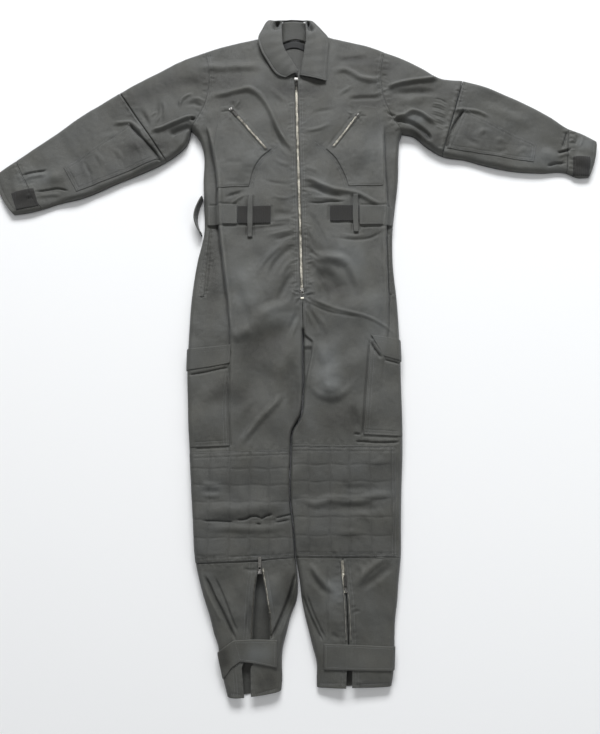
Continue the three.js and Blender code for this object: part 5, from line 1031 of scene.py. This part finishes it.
# ---------------------------------------------------------------- fronts, back and lower legs
def centre_edge(side):
    """A front's edge at the centre: shut below the zip, and over the sides of its teeth above."""
    y = np.concatenate([np.arange(-17, 50, 8), np.arange(50, 72, 3), np.arange(76, 668, 8), [668]])
    return np.column_stack([column(CENTRE, y, 1) + side * (0.5 + 3.0 * smooth((y - 58) / 8.0)), y])


def side_part(table, first, last, low, high):
    """The part of a side edge between two heights."""
    line = curve(table, first, last)
    keep = line[(line[:, 1] > low + 0.5) & (line[:, 1] < high - 0.5)]
    order = np.argsort(line[:, 1])
    ends = [(np.interp(y, line[order, 1], line[order, 0]), y) for y in (high, low)
            if line[:, 1].min() - 1 < y < line[:, 1].max() + 1]
    return np.vstack([ends[:1], keep, ends[1:]])


SPLIT = 0.2  # half the gap between the two back legs at the centre
BACK_STEP, BACK_WALL = 9.0, 1.5  # spacing of the points of the back, and its thickness


def leg_ring(side, edge, inner, knee_y):
    """The back of one leg, from the waist down."""
    return np.vstack([
        [(column(CENTRE, WAIST, 1) + side * SPLIT, WAIST)], side_part(edge, 4, KNEE, knee_y, WAIST),
        curve(edge, KNEE), curve(inner)[::-1], centre_line(0, WAIST - 6, side * SPLIT)])


front_ring_r = np.vstack([
    centre_edge(-1), curve(NECK_R)[1:], curve(TOP_R, 0, 1)[1:], (ARM_R - [0.3, 0])[1:], curve(SIDE_R, 0, KNEE)[1:],
    curve([(-230, -546), (-150, -543), (-12, -533.6)])[1:], curve(IN_R, 0, KNEE_IN)[::-1][1:]])
front_ring_l = np.vstack([
    centre_edge(1), curve(NECK_L)[1:], curve(TOP_L, 0, 1)[1:], (ARM_L + [0.3, 0])[1:], curve(SIDE_L, 0, KNEE)[1:],
    curve([(223, -533), (110, -533), (-7.5, -533)])[1:], curve(IN_L, 0, KNEE_IN)[::-1][1:]])
for word, ring, length, area in (("right", front_ring_r, 1.34, 0.335), ("left", front_ring_l, 1.32, 0.305)):
    make("front_" + word, [patch(ring)], CLOTH, stands_for=["front_" + word[0]])

back_neck = curve([(-74, 774), (-52, 768), (-17, 767), (22, 769), (40, 778)])
torso_ring = np.vstack([
    side_part(SIDE_R, 0, 8, WAIST, 505)[::-1], (ARM_R + [0.3, 0])[::-1][1:-1], curve(TOP_R, 0, 1)[::-1],
    back_neck[1:-1], curve(TOP_L, 0, 1), (ARM_L - [0.3, 0])[1:-1], side_part(SIDE_L, 0, 8, WAIST, 495)])
for name, ring, cad, flat, area in (
        ("back_of_torso", torso_ring, "back_torso", (0.52, 0.52), 0.235),
        ("back_of_right_leg", leg_ring(-1, SIDE_R, IN_R, -545.9), "back_leg_r", (0.29, 1.09), 0.25),
        ("back_of_left_leg", leg_ring(1, SIDE_L, IN_L, -532.9), "back_leg_l", (0.27, 1.07), 0.24)):
    make(name, [under_patch(ring, BACK_STEP, BACK_WALL)], CLOTH, stands_for=[cad])

for where, word, ring, flat, area in (
        ("outer", "right", [curve(SIDE_R, KNEE), [(-136, -821)], gape_line(GAPE_R, 1, -820, -541),
                            [(-150, -543.6)]], (0.155, 0.30), 0.031),
        ("inner", "right", [gape_line(GAPE_R, 2, -540, -818), [(-70, -813)], curve(IN_R, KNEE_IN)[::-1],
                            [(-60, -536.6)]], (0.10, 0.30), 0.0205),
        ("outer", "left", [curve(SIDE_L, KNEE), [(150, -800)], gape_line(GAPE_L, 1, -800, -534)],
         (0.15, 0.29), 0.033),
        ("inner", "left", [gape_line(GAPE_L, 2, -534, -801), curve(IN_L, KNEE_IN)[::-1]], (0.12, 0.29), 0.026)):
    make("lower_leg_%s_%s" % (where, word), [patch(np.vstack(ring) - [0, 0.3])], CLOTH,
         stands_for=["shin_%s_%s" % (where, word[0])])

# ---------------------------------------------------------------- sleeves
SLEEVE_STEP = 6.0  # spacing of the points of the under side
for side, word, table, top, low, grain in (
        (-1, "right", SLEEVE_R, TOP_R, LOW_R, 36), (1, "left", SLEEVE_L, TOP_L, LOW_L, -20)):
    end = len(table) - 1
    for first, last, cad, name, flat, area in (
            (0, SLEEVE_SEAM, "sleeve_upper_", "upper_sleeve_", (0.46, 0.20), 0.080),
            (SLEEVE_SEAM, CUFF_SEAM, "sleeve_lower_", "lower_sleeve_", (0.42, 0.345), 0.126),
            (CUFF_SEAM, end, "cuff_", "cuff_", (0.29, 0.070), 0.019)):
        near, far = ring_line(table, first, side * 0.3), ring_line(table, last, 0 if last == end else -side * 0.3)
        ring = np.vstack([near[::-1], curve(top, first + 1, last + 1)[1:-1],
                          far, curve(low, first, last)[::-1][1:-1]])
        make(name + word, [patch(ring, turn=math.radians(grain)), under_patch(ring, SLEEVE_STEP)], CLOTH,
             stands_for=[cad + word[0]])


# ---------------------------------------------------------------- pieces sewn on top
def quilt(x, y, across, down, x0, y0, turn=0.0, depth=0.9):
    """Shallow grooves of a quilted grid of blocks, `across` by `down`, with the blocks puffed between them."""
    u, v = turned(x - x0, y - y0, turn)
    u, v = u / across, v / down
    waver = 0.03 * np.sin(v * 5.1 + 1) + 0.03 * np.sin(u * 4.3)
    du, dv = np.abs((u + waver + 0.5) % 1 - 0.5) * across, np.abs((v + waver + 0.5) % 1 - 0.5) * down
    puff = 0.55 * (np.abs(np.sin(math.pi * (u + waver))) * np.abs(np.sin(math.pi * (v + waver)))) ** 0.6
    return puff * depth - 0.7 * depth * bell(np.minimum(0.8 * du, dv), 0, 1.9)


def fade_over(zip_line):
    """One below a slanted pocket zip, falling to nothing just above it, where the pocket runs into the front."""
    (x1, y1), (x2, y2) = zip_line
    d = np.array([x2 - x1, y2 - y1]) / math.hypot(x2 - x1, y2 - y1)
    sign = 1 if x2 > x1 else -1
    return lambda x, y: 1 - smooth((sign * (d[0] * (y - y1) - d[1] * (x - x1)) - 8) / 5)


def beside(points, side, first, last, low, high, off):
    """A ring of the given points and the side edge between two heights, moved in by `off`."""
    line = side_part(SIDE_R if side < 0 else SIDE_L, first, last, low, high)
    line[:, 0] -= side * off
    return np.vstack([points, line[::-1]])


def sewn_on(name, ring, flat, area, rests, material=CLOTH, **look):
    """A piece sewn on top. It stands for the CAD node of its own name, with the side as one letter."""
    cad = name.replace("_right", "_r").replace("_left", "_l")
    make(name, [patch(ring, **look)], material, stands_for=[cad])


def quilted(*grid, grain=0):
    """The look of a quilted patch: its grid of blocks, and the turn of its grain in degrees."""
    return {"material": QUILT, "extra": lambda x, y: quilt(x, y, *grid), "turn": math.radians(grain)}


CHEST_R = np.vstack([curve(POCKET_SEAM_R), [(-205, 340), (-212, 470), (-200, 560), (-110, 575), (-60, 520)]])
CHEST_L = np.vstack([curve(POCKET_SEAM_L), [(204, 348), (207, 470), (190, 560), (100, 570), (45, 520)]])
CARGO_R = beside([(-163, -64), (-164, -181), (-159, -288)], -1, HIP, CARGO_END, -291, -72, 2)
CARGO_L = beside([(164, -38), (153, -158), (144, -262)], 1, HIP, CARGO_END, -267, -46, 2)
FLAP_R = beside([(-161, -52), (-162, -97), (-185, -101)], -1, HIP, FLAP_END, -114, -62, 1)
FLAP_L = beside([(166, -29), (179, -54), (194, -81)], 1, HIP, FLAP_END, -92, -41, 1)
KNEE_R = beside([(-24, -296), (-24, -421), (-19, -460), (-13, -531), (-90, -538), (-228, -545)],
                -1, FLAP_END, KNEE, -545, -303, 1)
KNEE_L = [(-17.5, -285), (-17.5, -421), (-12.5, -460), (-6.5, -530),
          (210, -530), (213, -410), (215, -300), (212, -288)]
FLAP = {"lift": PLY + 0.3, "base": strap_z}
for name, ring, flat, area, rests, look in (
        ("chest_pocket_right", CHEST_R, (0.16, 0.235), 0.0285, "front_right", {"fade": fade_over(ZIP_R)}),
        ("chest_pocket_left", CHEST_L, (0.17, 0.225), 0.0285, "front_left", {"fade": fade_over(ZIP_L)}),
        ("cargo_pocket_right", CARGO_R, (0.16, 0.23), 0.026, "front_right", {}),
        ("cargo_pocket_left", CARGO_L, (0.12, 0.225), 0.0205, "front_left", {}),
        ("cargo_flap_right", FLAP_R, (0.13, 0.07), 0.0063, "cargo_pocket_right", FLAP),
        ("cargo_flap_left", FLAP_L, (0.10, 0.07), 0.0035, "cargo_pocket_left", FLAP),
        ("knee_patch_right", KNEE_R, (0.24, 0.26), 0.055, "front_right", quilted(45, 38, -23, -300)),
        ("knee_patch_left", KNEE_L, (0.25, 0.25), 0.058, "front_left", quilted(46, 39, 20, -290)),
        ("elbow_patch_right", ELBOW_R, (0.23, 0.15), 0.0265, "lower_sleeve_right",
         quilted(44, 40, -549, 335, 0.42, 0.35, grain=24)),
        ("elbow_patch_left", ELBOW_L, (0.21, 0.13), 0.018, "lower_sleeve_left",
         quilted(44, 40, 366, 452, -0.18, 0.35, grain=-10))):
    sewn_on(name, ring, flat, area, rests, ply=PLY, rim=3.0, **look)

SMALL = {"spacing": 1.8, "rim": 1.2}
for name, word, x1, x2, y1, y2, lift, ply, material in (  # waist: pile, tab and loop on each side, as rectangles
        ("belt_pile_", "right", -151, -71, 249, 294, 0.2, 1.5, PILE),
        ("belt_pile_", "left", 73, 143, 255, 296, 0.2, 1.5, PILE),
        ("belt_tab_", "right", -225, -152, 247, 297, 0.6, 2.2, CLOTH),
        ("belt_tab_", "left", 144, 224, 245, 294, 0.6, 2.2, CLOTH),
        ("belt_loop_", "right", -126, -115, 213, 323, 2.3, 1.5, CLOTH),
        ("belt_loop_", "left", 129.5, 141, 226, 323, 2.3, 1.5, CLOTH)):
    bend, hem = (2.0, 8) if "loop" in name else (0.8, 4)
    ring = np.vstack([curve([(x1, y1), (x1 - bend, (y1 + y2) / 2), (x1, y2)]),
                      curve([(x2, y2), (x2 + bend * 0.3, (y1 + y2) / 2), (x2, y1)])])
    flat = (round((x2 - x1 + hem) / 1000, 4), round((y2 - y1 + hem / 3) / 1000, 4))
    sewn_on(name + word, ring, flat, None, "front_" + word, material,
            lift=lift + 0.5, ply=ply, base=strap_z, **SMALL)

for word, ring in (("right", [(-237, 66), (-228, 66), (-220, 234), (-228, 234)]),
                   ("left", [(213, 72), (220, 72), (218, 224), (212, 224)])):
    sewn_on("hip_welt_" + word, ring, (0.018, 0.168), None, "front_" + word, ply=PLY, spacing=1.8)

# the right waist strap stands out from the side in an open loop
bow = np.linspace(0, 1, 41)
plan = np.column_stack([-239.6 - 12 * np.sin(np.pi * bow) ** 0.8 * (1 + 0.1 * np.sin(5 * bow)), 226 + 96 * bow])
loop = [[(x - 0.22 * h * math.sin(math.pi * t), y, h) for h in np.linspace(0.9, 23.0, 15)]
        for (x, y), t in zip(plan, bow)]
make("belt_side_loop_strap", [wall(loop, 1.7)], CLOTH, stands_for=["belt_side_loop"])

for word, ring in (("right", [(-694, 289), (-640, 300), (-655, 345), (-711, 334)]),
                   ("left", [(676, 382), (716, 381), (722, 430), (679, 431)])):
    sewn_on("cuff_tab_" + word, ring, (0.052, 0.05), 0.0024, "cuff_" + word, PILE, lift=0.2, ply=1.5, **SMALL)

for word, ring, flat, area in (  # ankle straps, which bridge the leg openings
        ("right", [(-176, -730), (-160, -716), (-142, -704), (-95, -702), (-48, -703), (-49, -760), (-101, -751),
                   (-128, -748), (-146, -760), (-163, -783)], (0.155, 0.057), 0.0078),
        ("left", [(51, -711), (51, -764), (200, -766), (203, -717)], (0.153, 0.053), None)):
    sewn_on("ankle_strap_" + word, ring, flat, area, "lower_leg_outer_" + word,
            lift=1.6, ply=2.0, rim=2.0, base=strap_z)


# ---------------------------------------------------------------- zips
def spots_along(line, at, reach):
    """The points at given lengths along a line, and its direction there."""
    return on_line(line, at)[0], headings(on_line(line, at + reach)[0] - on_line(line, at - reach)[0])


def place_copies(shape, tris, where, ahead, lift, scale=1.0, up=None):
    """Copies of a small shape, each on the upper layer, or at given points and normals, with its own heading."""
    if up is None:
        up = up_from(top_z, where[:, 0], where[:, 1], 1.5)
        where = np.column_stack([where, top_z(where[:, 0], where[:, 1])])
        ahead = np.column_stack([ahead, np.zeros(len(ahead))])
    y = ahead - up * np.sum(up * ahead, axis=1)[:, None]
    y /= np.linalg.norm(y, axis=1)[:, None]
    base = where + up * np.reshape(lift, (-1, 1))
    sized = shape[None] * np.broadcast_to(scale, (len(where), 3))[:, None]
    axes = (np.cross(y, up), y, up)
    p = base[:, None] + sum(sized[:, :, k, None] * axis[:, None] for k, axis in enumerate(axes))
    faces = (tris[None] + (np.arange(len(where)) * len(shape))[:, None, None]).reshape(-1, 3)
    verts = p.reshape(-1, 3)
    return verts, faces, verts[:, :2], np.zeros(len(verts))


def rounded_box(w, l, h, r=0.3):
    """A box with bevelled upper edges, long side along Y."""
    rings = [(w, l, 0), (w, l, h * (1 - r)), (w * (1 - r), l * (1 - r * 0.6), h)]
    corners = ((-1, -1), (1, -1), (1, 1), (-1, 1))
    verts = np.array([(sx * a / 2, sy * b / 2, z) for a, b, z in rings for sx, sy in corners])
    low, after = np.array([0, 1, 2, 3, 4, 5, 6, 7]), np.array([1, 2, 3, 0, 5, 6, 7, 4])
    ends = [(8, 9, 10), (8, 10, 11), (0, 2, 1), (0, 3, 2)]
    return verts, np.vstack([quads(low, after, after + 4, low + 4), ends])


def teeth(line, half, lift, sides=(-1, 1)):
    """Rows of metal teeth on both sides of a line, set half a pitch apart so that they interlock."""
    line = densify_open(line, 2.0)
    parts = []
    for side in sides:
        at = np.arange(TOOTH_PITCH * (0.5 if side > 0 else 1.0), lengths(line)[-1], TOOTH_PITCH)
        spot, ahead = spots_along(line, at, 0.5)
        spot = spot + np.column_stack([-ahead[:, 1], ahead[:, 0]]) * side * half * 0.42
        parts.append(place_copies(*rounded_box(half * 1.25, TOOTH_PITCH * 0.62, 1.7), spot, ahead, lift))
    return parts


def strip(line, half):
    """A closed ring round a line, `half` wide on both sides."""
    line = np.asarray(line, float)
    n = side_normals(line)
    return np.vstack([line + n * half, (line - n * half)[::-1]])


make("zip_tape_centre", [patch(strip(centre_line(42, 660), 13), lift=-2.6, spacing=3.5, rim=1.0)], TAPE,
     stands_for=["zip_tape"])
make("zip_teeth_centre", teeth(centre_line(62, 607), 2.9, -1.2), TEETH, stands_for=["zip_teeth"])
make("zip_bottom_stop", [place_copies(*rounded_box(8.5, 5.5, 2.4), np.array([(4.9, 59.0)]), np.array([(0.0, 1.0)]),
                                      -0.6)], TEETH)
make("zip_teeth_top", teeth(centre_line(607, 641), 2.4, -1.6), TEETH_PAINTED_SHADE)
for word, line in (("right", ZIP_R), ("left", ZIP_L)):
    a, b = np.array(line, float)
    length = float(np.linalg.norm(b - a))
    d = (b - a) / length
    tape = strip(densify_open([a - d * 3, b + d * 4], 4), 5.2)
    make("chest_zip_tape_" + word, [patch(tape, lift=PLY, ply=0.5, spacing=2.0, rim=0.8)], QUILT)
    make("chest_zip_teeth_" + word, teeth([a + d * 7, b], 2.3, PLY + 0.3), TEETH,
         stands_for=["chest_zip_" + word[0]])
make("leg_zip_teeth_outer_right", teeth(gape_line(GAPE_R, 1, -572, -699, -2), 2.4, 0.0, (-1,)), TEETH_PAINTED_SHADE,
     stands_for=["leg_zip_outer_r"])
make("leg_zip_teeth_inner_right", teeth(gape_line(GAPE_R, 2, -556, -648, 2), 2.8, 0.3, (1,)), TEETH,
     stands_for=["leg_zip_inner_r"])
make("leg_zip_teeth_inner_right_low", teeth(gape_line(GAPE_R, 2, -648, -699, 2), 2.4, 0.0, (1,)), TEETH_PAINTED_SHADE)
make("leg_zip_teeth_left", teeth(gape_line(GAPE_L, 1, -538, -606, -2.5), 3.2, 0.0), TEETH,
     stands_for=["leg_zip_l"])
make("leg_zip_teeth_left_low", teeth(gape_line(GAPE_L, 1, -606, -704, 3.4), 1.9, 0.1, (1,))
     + teeth(gape_line(GAPE_L, 2, -606, -704, -3.6), 1.9, 0.1, (-1,)), TEETH_DIMMER)

for name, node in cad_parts.items():
    if name.endswith("_slider") or name.endswith("_pull"):
        node.data.materials.clear()
        node.data.materials.append(BRIGHT if name.endswith("_slider") else METAL)
        bevel = node.modifiers.new("edges", "BEVEL")
        bevel.width, bevel.segments = 0.00035, 2
        bevel.limit_method = "ANGLE"

# ---------------------------------------------------------------- collar and label
# Seam on the neckline, roll line and leaf edge, from the right front round the back to the left front.
COLLAR = np.array([  # seam x, y, roll line x, y, z, leaf edge x, y, z
    (-16, 664, -4, 656, 33, -36, 641, 31), (-30, 678, -12, 670, 35, -54, 647, 31),
    (-46, 698, -21, 685, 37, -69, 663, 31), (-58, 718, -30, 700, 38, -84, 689, 31),
    (-66, 738, -39, 717, 38, -98, 716, 31), (-70, 752, -44, 736, 38, -107, 753, 29),
    (-69, 764, -46, 763, 36, -96, 787, 24), (-62, 766, -47, 784, 32, -84, 813, 18),
    (-50, 757, -47, 807, 22, -69, 821, 9), (-34, 763, -32, 817, 15, -35, 821, 3),
    (-14, 768, -17, 819, 14, -17, 821, 3), (6, 765, -1, 817, 15, 1, 821, 3),
    (22, 759, 14, 807, 22, 26, 821, 9), (32, 766, 15, 785, 32, 38, 807, 18),
    (38, 764, 15, 765, 38, 55, 781, 26), (38, 750, 15, 743, 38, 72, 755, 29),
    (34, 732, 12, 724, 38, 72, 727, 31), (28, 712, 9, 703, 36, 70, 697, 30),
    (20, 694, 5, 682, 35, 68, 671, 29.5), (10, 678, 2, 663, 34, 67, 650, 29),
    (0, 662, -1, 647, 32, 66, 632, 29)], float)
COLLAR_STEP = 2.2
STITCH_IN = 5.0  # the collar's row of stitches stands this far inside its edges
ACROSS = 1 - (1 - np.linspace(0, 1, 36)) ** 1.5  # places across the leaf, closer together near its edge
sections = curve(COLLAR, step=COLLAR_STEP)
last = len(sections) - 1
leaf, stand = [], []
for k, section in enumerate(sections):
    seam, roll, tip = section[0:2], section[2:5], section[5:8]
    edge = np.minimum(np.linalg.norm(tip - roll) * (1 - ACROSS), COLLAR_STEP * min(k, last - k))
    rise = 2.4 * np.sin(math.pi * np.minimum(1, ACROSS * 1.05))
    rise += 0.3 * bell(edge, 2, 1.7) - 0.6 * bell(edge, STITCH_IN, 1.3)
    rise += 0.5 * np.sin(k / 5.1) * np.sin(ACROSS * 5 + k / 9)
    notch = smooth((roll[1] - 758) / 18) * smooth((33 - abs(roll[0] + 16)) / -3 + 1.4)  # behind the neck
    rise -= 20 * notch * bell(ACROSS, 0.40, 0.07 + 0.2 * notch)
    leaf.append(roll + (tip - roll) * ACROSS[:, None] + upright(rise))
    at_back = smooth((seam[1] - 745) / 14)
    low = top_z(seam[:1], seam[1:])[0] * (1 - at_back) + 3.6 * at_back + 1.0
    stand.append([(seam[0] + (roll[0] - seam[0]) * 0.94 * t, seam[1] + (roll[1] - 2.5 * at_back - seam[1]) * t,
                   low + (roll[2] - 2.2 - low) * t**1.2) for t in np.linspace(0, 1, 14)])
make("collar_turned_leaf", [wall(leaf, 1.1)], CLOTH, stands_for=["collar_leaf"])
make("collar_inner_stand", [wall(stand, 0.8)], CLOTH, stands_for=["collar_stand"])
label = [[(x, y - 0.013 * (x + 16) ** 2, 2.2 + 0.5 * math.sin((x + 44) / 54 * math.pi))
          for x in np.linspace(-45, 11, 16)] for y in np.linspace(745, 765, 6)]
verts, tris, grain, wear = wall(label, 0.3)
make("plain_neck_label", [(verts, tris[:, ::-1], grain, wear)], LABEL, stands_for=["neck_label"])

# ---------------------------------------------------------------- stitches
lens = np.array([(a * w, 1.25 * y, z) for y, k in ((-1, 0.3), (0, 1.0), (1, 0.3))
                 for a, w, z in ((-1, 0.5 * k, -0.05), (0, 0, 0.5 * k), (1, 0.5 * k, -0.05))])
a = np.array([0, 1, 3, 4])
lens_tris = quads(a, a + 3, a + 4, a + 1)
groups = {"stitches_upper": [], "stitches_lower": []}
for row, lift, on_strap in ROWS:
    at = np.arange(1.5, lengths(row)[-1] - 1, STITCH_PITCH)
    at = at + rng.normal(0, 0.12, len(at))
    spot, ahead = spots_along(row, at, 1)
    scale = np.column_stack([np.full(len(at), 1.15), rng.normal(1.1, 0.08, len(at)), np.full(len(at), 1.1)])
    if on_strap:
        lift = lift + strap_z(*spot.T) - top_z(*spot.T)
    key = "stitches_upper" if row[:, 1].mean() > 0 else "stitches_lower"
    groups[key].append(place_copies(lens, lens_tris, spot, ahead, lift + 0.1, scale))
on_leaf = []
for k in range(2, last - 1):  # up one end of the leaf, along its edge and down the other end
    stop = lengths(leaf[k])[-1] - STITCH_IN
    down = np.arange(4, stop, 2.0)
    on_leaf.append(on_line(leaf[k], down if k == 2 else down[::-1] if k == last - 2 else [stop])[0])
on_leaf = np.vstack(on_leaf)
at = np.arange(2, lengths(on_leaf)[-1] - 2, STITCH_PITCH)
spot, ahead = spots_along(on_leaf, at, 1)
groups["stitches_upper"].append(
    place_copies(lens, lens_tris, spot, ahead, 1.2, (1.15, 1.1, 1.1), np.tile([0, 0, 1.0], (len(at), 1))))
for key, parts in groups.items():
    make(key, parts, THREAD)

# ---------------------------------------------------------------- floor, light and camera
bpy.ops.mesh.primitive_plane_add(size=40, location=(0, 0, -0.0004))
floor = bpy.context.object
floor.name = "floor"
white = bpy.data.materials.new("pale floor")
white.use_nodes = True
fill(white.node_tree.nodes["Principled BSDF"],
     {"Base Color": (0.9, 0.9, 0.9, 1), "Roughness": 0.9, "Specular IOR Level": 0.1})
floor.data.materials.append(white)

world = bpy.data.worlds.new("studio")
bpy.context.scene.world = world
world.use_nodes = True
fill(world.node_tree.nodes["Background"], {"Color": (0.96, 0.98, 1.0, 1), "Strength": 0.26})


def aim(obj, spot, target):
    """Puts a lamp or camera in the scene, pointed at a target."""
    obj.location = spot
    obj.rotation_euler = (Vector(target) - Vector(spot)).to_track_quat("-Z", "Y").to_euler()
    bpy.context.scene.collection.objects.link(obj)


for name, spot, target, size, power, colour in (
        ("key", (0.0, 5.2, 3.6), (0, -0.1, 0), (4.2, 1.9), 500, (0.97, 0.985, 1.0)),
        ("fill", (1.9, -0.6, 1.7), (0, 0, 0), (1.4, 1.4), 9, (0.97, 0.99, 1.0)),
        ("top", (-0.9, -0.3, 2.6), (0, -0.1, 0), (1.5, 1.5), 9, (1, 1, 1))):
    lamp = bpy.data.lights.new(name, "AREA")
    lamp.shape = "RECTANGLE"
    lamp.size, lamp.size_y = size
    lamp.energy, lamp.color = power, colour
    aim(bpy.data.objects.new(name, lamp), spot, target)

lens_mm, sensor_mm = 34.58, 36.0
cam_data = bpy.data.cameras.new("camera")
cam_data.lens, cam_data.sensor_width = lens_mm, sensor_mm
cam_data.clip_start, cam_data.clip_end = 0.05, 30
cam = bpy.data.objects.new("camera", cam_data)
aim(cam, (0.0075, -0.4458, 1.6213), (0.0075, -0.1012, 0))
bpy.context.scene.camera = cam
bpy.context.scene.view_settings.view_transform = "Standard"
